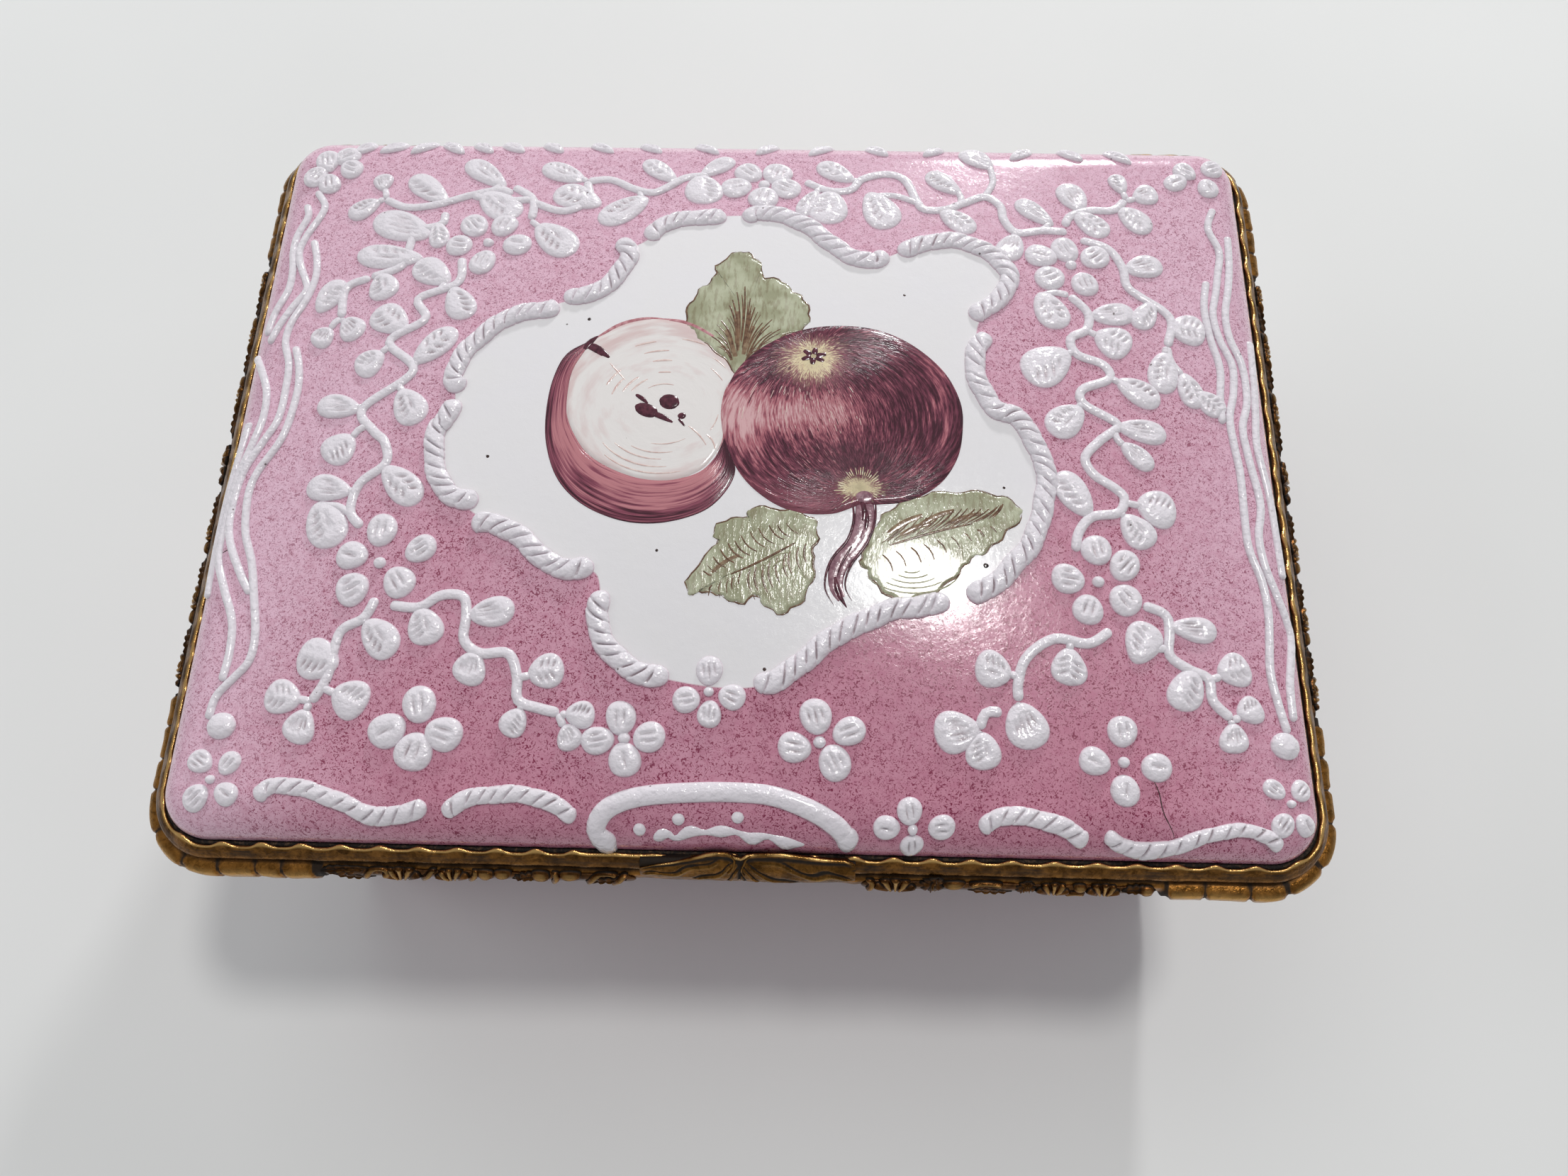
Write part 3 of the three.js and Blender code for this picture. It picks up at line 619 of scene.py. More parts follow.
def crescentPaint():
    # The cut apple's skin: streaks run along it. The grid's own map gives the place across and along
    paint = Paint("paintedCrescent")
    uv = paint.node("ShaderNodeTexCoord", output=2)
    u, v = paint.parts(uv)[:2]
    along = paint.noise(paint.vector(u * 16.0, v * 3.2, 0.0), 1.6, 3, 0.6)
    broad = paint.noise(paint.vector(u * 2.0, v * 7.0, 3.0), 1.3, 2)
    tone = u.within(0.0, 0.7) * 0.5 - u.within(0.82, 1.0) * 0.2 + along * 1.8 + broad * 0.4 - 1.08
    tone = tone - v.within(0.84, 0.97) * 0.6 - v.within(0.4, 0.2) * 0.14
    color = paint.mix(tone.within(-0.1, 0.2), fruit["dark"], shade(132, 66, 84))
    color = paint.mix(tone.within(0.16, 0.5), color, shade(184, 120, 126))
    return paint.glazed(color, 0.14 + along * 0.1, along, 0.06)


def leafPaint():
    # Grey-green, laid on in long strokes, with brown glazed over it in places
    paint = Paint("paintedLeaf")
    spot = paint.spot()
    wash = paint.noise(spot, 0.5, 2)
    stroke = paint.noise(paint.spot(2.6, 0.7, 1), 1.2, 3, 0.6)
    color = paint.mix(wash.within(0.35, 0.65), shade(152, 152, 124), shade(182, 184, 158))
    color = paint.mix(stroke.within(0.46, 0.64) * 0.6, color, shade(126, 116, 88))
    color = paint.mix((wash * 0.5 + stroke * 0.5).within(0.55, 0.68) * 0.35, color, shade(206, 204, 186))
    return paint.glazed(color, 0.15, stroke, 0.06)


paints = {
    "lidGround": pinkEnamel("lidEnamel", False),
    "baseGround": pinkEnamel("baseEnamel", True),
    "raised": raisedEnamel(),
    # The grounds of the band, castings and thumb piece are set darker than the gilding's own colour, partly a
    # painted reflection of dark surroundings
    "gilt": giltPaint("wornGilt", shade(118, 78, 32), shade(174, 120, 58), 0.4),
    "giltBand": giltPaint("giltBand", shade(94, 62, 28), shade(150, 104, 52), 0.5),
    "giltCast": giltPaint("castGilt", shade(74, 46, 22), shade(128, 84, 42), 0.55),
    "giltThumb": giltPaint("thumbGilt", shade(92, 62, 26), shade(142, 98, 46), 0.5),
    "cement": cementPaint(),
    "steel": steelPaint(),
    "apple": applePaint(),
    "flesh": fleshPaint(),
    "crescent": crescentPaint(),
    "leaf": leafPaint(),
    "moss": brushPaint("mossLine", shade(132, 128, 100), shade(160, 158, 128)),
    "umber": brushPaint("umberGlaze", shade(110, 82, 62), shade(146, 124, 98)),
    "stemTone": brushPaint("stemTone", shade(118, 78, 90), shade(158, 122, 130)),
    "brown": brushPaint("brownLine", shade(84, 56, 42), shade(124, 94, 70)),
    "plum": brushPaint("plumLine", shade(58, 22, 34), shade(96, 44, 58)),
    "rose": brushPaint("roseLine", shade(158, 92, 100), shade(200, 150, 154)),
    "cream": brushPaint("creamLine", shade(226, 206, 158), shade(242, 234, 206)),
    "blush": brushPaint("blushLine", shade(204, 172, 166), shade(224, 206, 198)),
    "stain": brushPaint("darkStain", shade(26, 18, 16), shade(70, 46, 40)),
}
print("materials ready")


def painted(piece, kind, body="lid", *replaced):
    return dressed(piece, paints[kind], body, "pink_enamel", *replaced)


def gilded(piece, kind, body, *replaced):
    return dressed(piece, paints[kind], body, "gilt_metal", *replaced)


# Lid: the enamel

# The white panel's rope, in its ten strokes, clockwise from the upper left
ropeStrokes = [
    [(-9.1, 18.3), (-7.9, 20), (-5.6, 20.8), (-2.5, 21)],
    [(-1, 20.6), (0, 21.5), (2.1, 21.25), (4.4, 20), (6.1, 18.3), (8, 16.7), (10, 16.25), (10.9, 17.3)],
    [(11.9, 17.3), (14, 18.3), (16.1, 18.9), (18.2, 18.5), (19.8, 17.5), (21.1, 15.8), (20.9, 14),
     (19.6, 12.3), (17.75, 10.8)],
    [(19.2, 9.2), (18.2, 7.9), (17.9, 5.8), (18.5, 3.75), (19.4, 2.3), (20.9, 1.7), (21.9, 0.6), (22.3, -0.6),
     (23, -2.1), (23.1, -4.2), (22.5, -6.9), (21.7, -9), (20.25, -10.8), (18.6, -12.5), (16.7, -13.3)],
    [(15.5, -13.75), (13.4, -14.2), (11.1, -14.6), (9, -15.6), (6.9, -16.7), (4.8, -18.5), (2.75, -20),
     (1.1, -20.2)],
    [(-5, -19.8), (-6.8, -19.8), (-8.7, -18.75), (-10, -17.3), (-10.6, -15.4), (-10.2, -13.5)],
    [(-11, -11.7), (-12.9, -11.9), (-14.75, -11.25), (-16.8, -9.4), (-18.9, -8.3), (-20.8, -8.1)],
    [(-20.4, -6.5), (-22.7, -5.8), (-23.9, -4.2), (-24.5, -2.1), (-24.5, 0), (-24.1, 0.6), (-23.1, 2.5)],
    [(-22.9, 3.3), (-23.8, 4.6), (-23.2, 6.8), (-21.6, 8.8), (-19.5, 10.4), (-15.7, 11.1)],
    [(-15.6, 12.1), (-12.9, 12.6), (-11.3, 14.4), (-10.5, 16.6), (-11.4, 18.4)],
]
# The panel's edge under the rope
reserveEdge = [
    (-9.1, 18.3), (-7.9, 20.0), (-5.6, 20.8), (-1.2, 21.2), (2.1, 21.2), (4.4, 20.0), (8.0, 16.7),
    (10.0, 16.3), (12.9, 17.8), (16.1, 18.9), (19.3, 17.9), (21.0, 15.8), (20.8, 14.0), (18.5, 10.6),
    (18.1, 8.0), (17.9, 5.8), (18.8, 3.2), (20.9, 1.6), (22.9, -2.1), (23.1, -4.2), (21.7, -9.0),
    (18.6, -12.4), (16.1, -13.5), (11.1, -14.7), (6.9, -16.7), (2.7, -20.0), (-1.0, -20.6), (-5.9, -19.9),
    (-8.7, -18.8), (-10.4, -16.4), (-10.5, -13.2), (-11.4, -11.9), (-14.8, -11.2), (-16.8, -9.5),
    (-20.6, -7.4), (-23.7, -4.6), (-24.5, -1.1), (-23.4, 2.2), (-23.5, 4.8), (-21.6, 8.9), (-19.5, 10.4),
    (-14.6, 12.0), (-12.0, 13.4), (-10.8, 16.8),
]


def intoPanel(x, y):
    # Distance into the panel, negative outside it
    edge = smoothPath(reserveEdge, 6, loop=True)[:-1]
    shape = x.shape
    px, py = x.ravel()[:, None], y.ravel()[:, None]
    ax, ay = edge[:, 0][None], edge[:, 1][None]
    bx, by = np.roll(edge[:, 0], -1)[None], np.roll(edge[:, 1], -1)[None]
    t = np.clip(((px - ax) * (bx - ax) + (py - ay) * (by - ay)) / ((bx - ax) ** 2 + (by - ay) ** 2), 0, 1)
    away = np.hypot(px - ax - t * (bx - ax), py - ay - t * (by - ay)).min(axis=1)
    crosses = ((ay > py) != (by > py)) & (px < (bx - ax) * (py - ay) / np.where(by == ay, 1, by - ay) + ax)
    inside = crosses.sum(axis=1) % 2 == 1
    return np.where(inside, away, -away).reshape(shape)


def ringStations(longParts, shortParts, cornerParts):
    # Places round the outline, with so many parts on a long side, a short side and a corner
    half = [longParts // 2, cornerParts, shortParts, cornerParts]
    counts = half + [longParts] + half[:0:-1] + half[:1]
    return np.concatenate([np.linspace(start, end, count + 1)[:-1]
                           for start, end, count in zip(legEnds[:-1], legEnds[1:], counts)])


def buildLidEnamel():
    s = ringStations(96, 72, 14)
    rows, lining = [], []
    outerInsets = lidForm["shoulderWidth"] * np.array([0, 0.01, 0.04, 0.1, 0.18, 0.28, 0.4, 0.55, 0.75, 1])
    shares = np.linspace(1, 0, 61)[1:]

    def dome(insets, height, inward):
        x, y = around(s[None], -insets[:, None])[:2]
        edgeX, edgeY = x[-1], y[-1]
        x = np.vstack([x, edgeX[None] * shares[:, None]])
        y = np.vstack([y, edgeY[None] * shares[:, None]])
        rows.append((x, y, height(x, y)) if not inward else (x[::-1], y[::-1], height(x, y)[::-1]))
        lining.append(np.full(len(x), float(inward)))

    def under(x, y):
        depth = (insetOf(x, y) - lidForm["wall"]) / (lidForm["shoulderWidth"] - lidForm["wall"])
        crown = lidForm["crownRise"] * (1 - (x / plan["halfX"]) ** 2) * (1 - (y / plan["halfY"]) ** 2)
        full = lidForm["start"] + lidForm["shoulderRise"] + crown - lidForm["wall"] - lidForm["foot"]
        return lidForm["foot"] + full * quarterRound(np.maximum(depth, 0))

    innerWidth = lidForm["shoulderWidth"] - lidForm["wall"]
    dome(lidForm["wall"] + innerWidth * np.array([0, 0.05, 0.2, 0.5, 1]), under, True)
    footX, footY = around(s[None], np.zeros((1, 1)))[:2]
    rows.append((footX, footY, np.full_like(footX, lidForm["foot"])))
    lining.append(np.zeros(1))
    dome(outerInsets, lidTop, False)
    x, y, z = (np.vstack([row[k] for row in rows]) for k in range(3))
    marks = {"reserve": closed(intoPanel(x, y)), "lining": closed(np.concatenate(lining)[:, None] + 0 * x)}
    shell = wrapped("lidEnamelShell", closed(np.stack([x, y, z], axis=-1)), marks)
    return painted(shell, "lidGround", "lid", "lid_shell")


buildLidEnamel()
print("lid enamel done")


# Lid: raised white work. Leaves are centre and size; flowers are a centre and their petals
def settle(x, y):
    # The places were read on a face a little too low at the back, so they move towards the front there
    return (x, y - 0.4 * float(smoothStep(18, 30, np.array(y))))


flowers = [
    [2.3, (-38.4, 27.6), (-38.7, 28.5), (-37, 29), (-36.4, 27.5), (-38.1, 25.8), (-39.5, 26.7)],
    [2.5, (-22.7, 18.2), (-24.2, 20.2), (-21.6, 20.1), (-20.2, 17.9), (-22.9, 16.1), (-25.2, 18)],
    [2.7, (0.5, 25.2), (-0.9, 26.8), (1.6, 26.7), (2.4, 24.8), (0.5, 23.5), (-1.9, 24.8)],
    [2.6, (26.5, 16.9), (24, 17.7), (26.1, 18.5), (28.6, 17.9), (27.5, 15), (24.6, 15.4)],
    [2.1, (38.1, 28.0), (37.5, 28.5), (40, 29), (39.4, 26.7), (36.6, 27.2)],
    [2.6, (-27.6, -11.25), (-27.8, -8.6), (-24.5, -10.2), (-25.9, -12.8), (-29.5, -13.3), (-29.9, -10.6)],
    [2.5, (26.7, -11.7), (26.7, -9.2), (28.8, -10.3), (28.7, -13), (25.8, -13.9), (24.4, -11.6)],
    [2.7, (-23.3, -23.3), (-23.3, -22.1), (-21.3, -24.2), (-23.4, -25.5), (-25.5, -24)],
    [2.0, (-2.1, -20.9), (-2.1, -19.4), (-0.4, -21.25), (-2, -22.5), (-3.7, -21.5)],
    [2.4, (-8.1, -24.3), (-8.4, -22.9), (-6.3, -24.2), (-8, -25.8), (-10, -24.5)],
    [2.4, (6, -24.3), (5.7, -22.5), (8.1, -23.5), (7.1, -25.7), (4.2, -24.7)],
    [1.9, (12.75, -30.1), (12.5, -28.9), (10.9, -30.0), (12.75, -31.0), (14.8, -29.9)],
    [2.3, (27.9, -25.1), (27.9, -22.9), (30.25, -25.4), (27.9, -27.1), (25.8, -25.1)],
    [1.9, (-38.2, -27.7), (-37, -26.5), (-36.9, -28.7), (-39.1, -29.0), (-39.2, -26.4)],
    [1.7, (39.8, -27.7), (38.7, -26.7), (40.7, -26.7), (39.1, -29.2), (40.8, -29.1)],
]
vines = [
    [(-32.7, 23.75), (-30.6, 22.7), (-28, 22.9), (-25, 24), (-22.5, 24.6), (-21.4, 24)],
    [(-27, 22), (-27.2, 20.5), (-29.5, 20)],
    [(-25, 24), (-22.6, 23.2), (-19.5, 23.3)],
    [(-21.4, 25), (-19.5, 23.3), (-19.3, 20.8)],
    [(-19.5, 23), (-17.25, 21.9), (-15.8, 22), (-14.6, 23.4), (-15, 25.6)],
    [(-29.5, 20), (-29.6, 18), (-30, 16), (-32.5, 15)],
    [(-24.75, 16.7), (-24.75, 14), (-27.9, 12.5), (-27, 10.4), (-29.75, 8.3), (-27.25, 5.4), (-31, 2.1),
     (-29.75, 0), (-28.7, -1), (-28.3, -2.9), (-30.2, -4.6), (-30.6, -6.9), (-29.5, -8.3)],
    [(-32.5, 15), (-34.5, 14), (-34.4, 11)],
    [(-15, 25.6), (-12.9, 25.8), (-10.8, 24.6), (-9.1, 24.1), (-7.7, 25), (-6.4, 26.1), (-4.3, 26.5)],
    [(4, 25.8), (6.1, 24.6), (8, 24.8), (9, 26.25), (11.1, 27), (12.75, 26.25), (13.8, 23.3), (14.4, 22.5),
     (16.1, 22.6), (17.75, 23.5), (19.6, 24.4), (20.9, 23.3), (21.1, 21.7), (22.1, 20.2), (24.4, 20.6),
     (26.5, 20.6)],
    [(26.3, 21.25), (26.9, 22.5), (28.6, 23.3), (30.7, 23.5), (31.9, 24.8)],
    [(27.5, 19.8), (29.8, 19), (30.9, 17.1), (31.1, 15.2), (32.1, 14.2), (34, 12.9), (34.6, 11.7), (34, 9.4)],
    [(26.1, 13.75), (27.5, 12.1), (27.3, 10.4), (25.9, 9.4), (26.3, 7.9), (28.4, 7.1), (28.8, 5.8),
     (26.5, 4.6), (26.5, 3.3), (28.6, 2.1), (29.2, 1.5), (28.2, 0.6), (27.5, 0), (26.3, -1.5),
     (26.9, -2.9), (28.6, -4), (29.2, -4.8), (28.6, -6), (26.5, -6.5), (25.4, -7.9), (25.1, -9.4)],
    [(-27.5, -14), (-28.3, -15.6), (-30, -16.7), (-30.5, -20), (-31.5, -22)],
    [(-26.4, -14.6), (-24.1, -14.8), (-22.5, -13.9), (-20.8, -14), (-20.4, -15.4), (-20.4, -17.3),
     (-19.1, -18.3), (-17, -18.3), (-16.2, -20), (-16, -21.7), (-14.3, -22.3), (-12.9, -22.6)],
    [(30, -13.3), (31.7, -14), (31.9, -15.4), (31.8, -17.1), (33.2, -18.1), (34.6, -18.75), (34.8, -20.4),
     (36.1, -21.7)],
    [(27.5, -15.4), (25.7, -16.5), (23.2, -16.25), (21.1, -17.7), (20.4, -19.6), (20.4, -21)],
    [(17.5, -23.1), (18, -21.9), (19.2, -21.8)],
]
leaves = [
    (-33.2, 25.8, 1.8, 1.8), (-34.4, 22.7, 2.6, 2), (-28.9, 24.8, 4.2, 2.3), (-30.6, 20.4, 5, 3),
    (-24.1, 26.7, 4.2, 2.2), (-22.4, 22.7, 4, 2.8), (-17.2, 26.7, 3.6, 2.2), (-15.6, 23.5, 3.8, 2.8),
    (-17, 18.5, 3, 4), (-27.2, 19.3, 1.8, 2.4), (-31.2, 17.1, 5, 2.5), (-31.2, 14, 2.6, 2.6),
    (-35.8, 13.3, 2.4, 3), (-33.3, 9.9, 2.3, 2.3), (-35.7, 9.2, 2, 2), (-27.1, 15.2, 3.4, 2.6),
    (-24.3, 11.9, 2.4, 3.2), (-30, 10.5, 3.2, 2.8), (-25.8, 7.7, 2.4, 3.8), (-31.1, 6.4, 2.4, 2.6),
    (-27.1, 2.1, 2.6, 3.2), (-33.1, 2.4, 3.2, 2.2), (-32.4, -1.4, 2.8, 2.8), (-26.8, -4.8, 3.8, 2.5),
    (-32.7, -4.9, 3.2, 2.3), (-32.5, -7.9, 3.2, 3.6), (-26.9, -17.1, 2.5, 3.2), (-31.4, -18.75, 3.2, 3),
    (-28.6, -21.7, 2.8, 2.8), (-33.7, -21.6, 2.6, 2.6), (-32.1, -23.75, 2.4, 2.4), (-23.5, -16.25, 2.6, 2.8),
    (-18.5, -15.2, 3, 2.2), (-19.75, -19.4, 2.4, 2.4), (-14.1, -19.6, 2.6, 2.4), (-16.2, -23.3, 2, 2),
    (-11.4, -22.7, 2, 2), (-12.1, -24.3, 1.8, 1.8), (-8.7, 27, 3.4, 1.9), (-3.7, 27.6, 3.2, 1.7),
    (-4.75, 24.6, 3.2, 3.4), (-11.4, 21.9, 4.2, 2.6), (6.7, 27.1, 3.4, 2), (6.1, 22.5, 3.6, 3.4),
    (4.4, 22.9, 1.6, 3), (10.5, 22.3, 3, 4), (16.1, 26, 3.2, 2), (17.1, 21.25, 3, 2.2),
    (23.8, 22.7, 3.4, 1.9), (27.3, 24.8, 2.4, 3), (28.6, 21.7, 3, 2.3), (32.5, 22.5, 3, 2.3),
    (31.5, 26.7, 1.6, 2), (33.7, 25.5, 2.2, 2.2), (21.5, 18.5, 2.3, 2.6), (32.75, 17.3, 3, 2.2),
    (24.4, 12.1, 2.8, 3.2), (29.6, 12.1, 3.2, 2.2), (29.4, 9.4, 3, 3), (23.8, 6.7, 4, 3.4),
    (31.1, 4.8, 3.2, 2.4), (25, 1.7, 2.6, 3.2), (31.1, 1.25, 3.6, 2), (30.5, -1, 2.6, 1.8),
    (32.4, 12.3, 1.9, 2.8), (35.9, 11.25, 2.8, 3), (33.4, 6.9, 2.5, 3.4), (35.5, 5.4, 2, 3),
    (37.0, 4.4, 2.6, 2), (25.25, -4.7, 2.4, 3.7), (31.7, -5.4, 3, 3), (30, -7.4, 2.4, 2.8),
    (29.8, -16.25, 2.6, 3), (33.8, -15, 3, 2), (32.9, -19.6, 2.5, 3), (36.6, -18, 2.5, 2.5),
    (37.5, -21, 2, 2), (36.1, -23.1, 2.1, 2.1), (18.6, -18.75, 2.6, 2.6), (24.2, -18.3, 2.6, 2.6),
    (20.9, -22.7, 3, 3.2), (15.9, -23.3, 3, 3), (17.75, -24.6, 2.4, 2.6), (19.2, 29.4, 3, 2.2),
    (-35.6, 30.1, 2.2, 1.2), (-33.0, 30.2, 2.6, 1.2), (-30.3, 30.3, 2.6, 1.2), (-27.6, 30.3, 2.6, 1.3),
    (-24.9, 30.3, 2.4, 1.2), (-22.2, 30.4, 2.6, 1.3), (-18.6, 30.4, 2.4, 1.3), (-14.2, 30.4, 2.6, 1.2),
    (-9.8, 30.4, 2.4, 1.2), (-4.8, 30.4, 2.6, 1.2), (0.6, 30.4, 2.4, 1.2), (5.4, 30.4, 2.6, 1.2),
    (10.4, 30.4, 2.4, 1.2), (15.4, 30.4, 2.2, 1.2), (23.2, 30.3, 2.6, 1.2), (27.6, 30.3, 2.4, 1.2),
    (31.8, 30.2, 2.6, 1.2),
]
strands = [
    [(-39.1, 25), (-38.1, 23.3), (-38.3, 21.9), (-39.1, 20), (-39.5, 18.3), (-39.1, 16.7), (-38.3, 15),
     (-38.1, 14), (-39.1, 12.3), (-40, 10.4), (-40.5, 9)],
    [(-39.75, 23.5), (-39.4, 22), (-40, 20), (-40.1, 18.3), (-39.75, 16.25), (-39.75, 14.2), (-40.6, 12),
     (-41, 10)],
    [(-38.4, 19.4), (-37.7, 17.1), (-37.5, 15.2), (-37.9, 13.1), (-38.8, 11), (-39, 9), (-38.3, 6.9),
     (-38.1, 4.8), (-38.2, 1.7), (-39.2, -0.5), (-40.4, -3.1), (-40.8, -6.25), (-40.4, -8.75), (-38.9, -11.7),
     (-37.7, -13.5)],
    [(-38, 8.5), (-37.25, 6.25), (-37, 3.75), (-37.5, 0), (-39.1, -3.1), (-39.5, -5.2), (-39.1, -8.3),
     (-38.1, -10.8), (-37.4, -13.5), (-36.7, -16.7), (-36.8, -18.75), (-37.7, -20), (-38.9, -21.5),
     (-39.2, -23.3)],
    [(-41.8, 8.3), (-40.6, 6.25), (-39.75, 4.2), (-39.6, 1.7), (-40.2, -1.0), (-41.0, -3.8), (-41.2, -6.25),
     (-41.2, -10), (-40, -12.9), (-38.8, -15.6), (-38.5, -18.1), (-38.7, -20.4)],
    [(-40.8, 1.7), (-41.3, -1.5), (-41.8, -5.0), (-41.9, -9.0), (-41.6, -13.5)],
    [(39.6, 24.4), (38.9, 22.1), (39.6, 19.6), (39.2, 17.2), (38.8, 15.2), (38.3, 13), (38.6, 10.6),
     (39.4, 8.2), (39.2, 5.6), (38.6, 3.2), (38.7, 0.6), (38.9, -1.8), (38.8, -6.25), (38.9, -8.3),
     (39.6, -10.8), (39.8, -13.3), (39.6, -15.6), (39.4, -18.1), (39.8, -20.8), (40.2, -22.6)],
    [(40.6, 21.5), (40.4, 18.6), (40.0, 16.0), (39.4, 13.2), (39.5, 10.8), (40.3, 8.2), (40.3, 5.0),
     (39.6, 2.4), (39.8, -0.4), (40.3, -4.2), (39.8, -7.0), (40.0, -9.4), (40.7, -11.7), (41.4, -13.7),
     (41.6, -15.2), (40.9, -18.75), (40.8, -21.6)],
    [(38.1, 16.4), (37.6, 13.6), (37.8, 10.6), (38.3, 7.8), (38.0, 5.0), (37.9, 2.6)],
    [(41.5, 11.2), (41.3, 7.6), (41.0, 4.2), (40.7, 0.8), (41.3, -3.2), (41.5, -7.2), (41.6, -10.2)],
]
frontRopes = [
    [(-34.75, -29), (-33.5, -28.1), (-31.4, -28.2), (-28.7, -29), (-26, -30), (-23.9, -29.8), (-22.1, -29.3)],
    [(-21, -29.8), (-19.3, -28.75), (-16.6, -28.35), (-14.4, -28.5), (-12.7, -29.1), (-11.4, -30)],
    [(17.5, -30), (19, -29.1), (20.9, -29.1), (23.2, -29.6), (25.25, -30.7)],
    [(26.5, -30), (27.5, -30.7), (29.4, -31), (31.3, -30.8), (33.8, -30), (36.1, -29.6), (38, -30),
     (39, -30.8)],
]
arch = [(-8.5, -31.2), (-9.3, -31.25), (-9.95, -30.7), (-9.6, -29.7), (-8.6, -28.9), (-6.6, -28.3),
        (-3.5, -28), (-0.2, -27.9), (2.75, -28.1), (5.5, -29), (7.3, -30), (8.3, -31.0)]
# The line inside the arch
archWave = [(-5.9, -31.1), (-4.9, -30.7), (-4.2, -31.0), (-3.2, -30.55), (-2.2, -30.6), (-1, -30.5),
            (0.2, -30.55), (1.2, -30.9), (2.4, -30.75), (3.6, -31.1), (5.2, -31.2)]
relief = {
    "ropeHalf": 0.86, "ropeHigh": 0.6, "ropeSlits": 1.12, "vineHalf": 0.43, "vineHigh": 0.31,
    "strandHalf": 0.36, "strandHigh": 0.32, "leafHigh": 0.44, "petalHigh": 0.5,
}


def waveSwell(t):
    # Thick and thin by turns, with round ends
    return quarterRound(np.minimum(t, 1 - t) * 14) * (1 + 0.3 * np.sin(t * 31))


def buildRopes():
    pieces = []
    for points in ropeStrokes + frontRopes:
        isFront = points[0][1] < -25
        slim = 0.58 if points is frontRopes[-1] else 0.76 if isFront else 1
        high = relief["ropeHigh"] * (0.78 if isFront else 1)
        pieces.append(ridge("rope", [settle(*p) for p in points], onLid, relief["ropeHalf"] * slim, high,
                            sides=13, slits=relief["ropeSlits"], slant=0.8))
    pieces.append(ridge("arch", arch, onLid, 0.72, 0.46, sides=13))
    pieces.append(laid(pads["plain"], onLid, (8.1, -30.75), (1.7, 1.5), high=0.46))
    pieces.append(ridge("wave", archWave, onLid, 0.3, 0.14, swell=waveSwell))
    for x, y in ((-6.8, -30.5), (-4, -29.8), (0.25, -29.6)):
        pieces.append(laid(pads["plain"], onLid, (x, y), (0.95, 0.8), high=0.25))
    return painted(joined(pieces, "raisedRopes"), "raised")


def buildFlowers():
    pieces = []
    for size, centre, *petals in flowers:
        middle = settle(*centre)
        if centre != (-23.3, -23.3):
            pieces.append(laid(pads["plain"], onLid, middle, (size * 0.4, size * 0.37), high=0.42))
        for petal in petals:
            x, y = settle(*petal)
            away = math.atan2(y - middle[1], x - middle[0])
            long = size * chance.uniform(0.98, 1.1)
            shape = (long, long * chance.uniform(0.84, 0.98))
            if y < -30.6:
                shape = (1.2, 1.75)
            kind = str(chance.choice(["one", "two", "two", "three", "three"]))
            pieces.append(laid(pads[kind], onLid, (x, y), shape, away + chance.uniform(-0.35, 0.35),
                               high=relief["petalHigh"] * min(1, size / 2.4), taper=0.1, uneven=0.03))
    return painted(joined(pieces, "raisedFlowers"), "raised")


def buildLeaves():
    # A leaf points away from the nearest stem, as far as its width and height allow; a stalk joins the two
    stems = np.vstack([smoothPath(vine, 6) for vine in vines] + [np.array([flower[1] for flower in flowers])])
    backRow = 29.5
    pieces, stalks = [], []
    for x, y, w, h in leaves:
        gaps = np.hypot(stems[:, 0] - x, stems[:, 1] - y)
        near = stems[np.argmin(gaps)]
        away = math.atan2(y - near[1], x - near[0])
        isLong = max(w, h) > 1.12 * min(w, h)
        if w >= h * 1.12:
            lean = float(np.clip((away + math.pi / 2) % math.pi - math.pi / 2, -0.7, 0.7))
            angle = lean if math.cos(lean - away) > 0 else lean + math.pi
        elif isLong:
            angle = away if abs(math.sin(away)) > 0.7 else math.copysign(math.pi / 2 - 0.45, math.sin(away))
        else:
            angle = away
        long, short = max(w, h) * (1.2 if isLong and y < backRow else 1.1), min(w, h) * 1.06
        kind = str(chance.choice(["leafRight", "leafLeft", "leafBoth", "leafRib"]))
        pieces.append(laid(pads[kind], onLid, settle(x, y), (long, short), angle, high=relief["leafHigh"],
                           taper=0.26, uneven=0.035))
        base = np.array([x - 0.4 * long * math.cos(angle), y - 0.4 * long * math.sin(angle)])
        run = near - base
        if y < backRow and gaps.min() < 5.5 and np.hypot(*run) > 0.35:
            knee = base + 0.5 * run + 0.12 * np.array([-run[1], run[0]])
            stalk = [settle(*near), settle(*knee), settle(*base)]
            stalks.append(ridge("stalk", stalk, onLid, 0.34, 0.27, sides=7))
    painted(joined(stalks, "raisedStalks"), "raised")
    return painted(joined(pieces, "raisedLeaves"), "raised")


def buildVines():
    pieces = []
    for kind, lines in (("vine", vines), ("strand", strands)):
        half, high = relief[f"{kind}Half"], relief[f"{kind}High"]
        pieces += [ridge(kind, [settle(*p) for p in line], onLid, half, high, sides=7) for line in lines]
    for x, y in ((-38.1, -23.75), (39.9, -23.5)):
        pieces.append(laid(pads["plain"], onLid, (x, y), (2.3, 2.1), high=0.5))
    return painted(joined(pieces, "raisedVines"), "raised")


buildRopes()
buildFlowers()
buildLeaves()
buildVines()
print("raised work on the lid done")


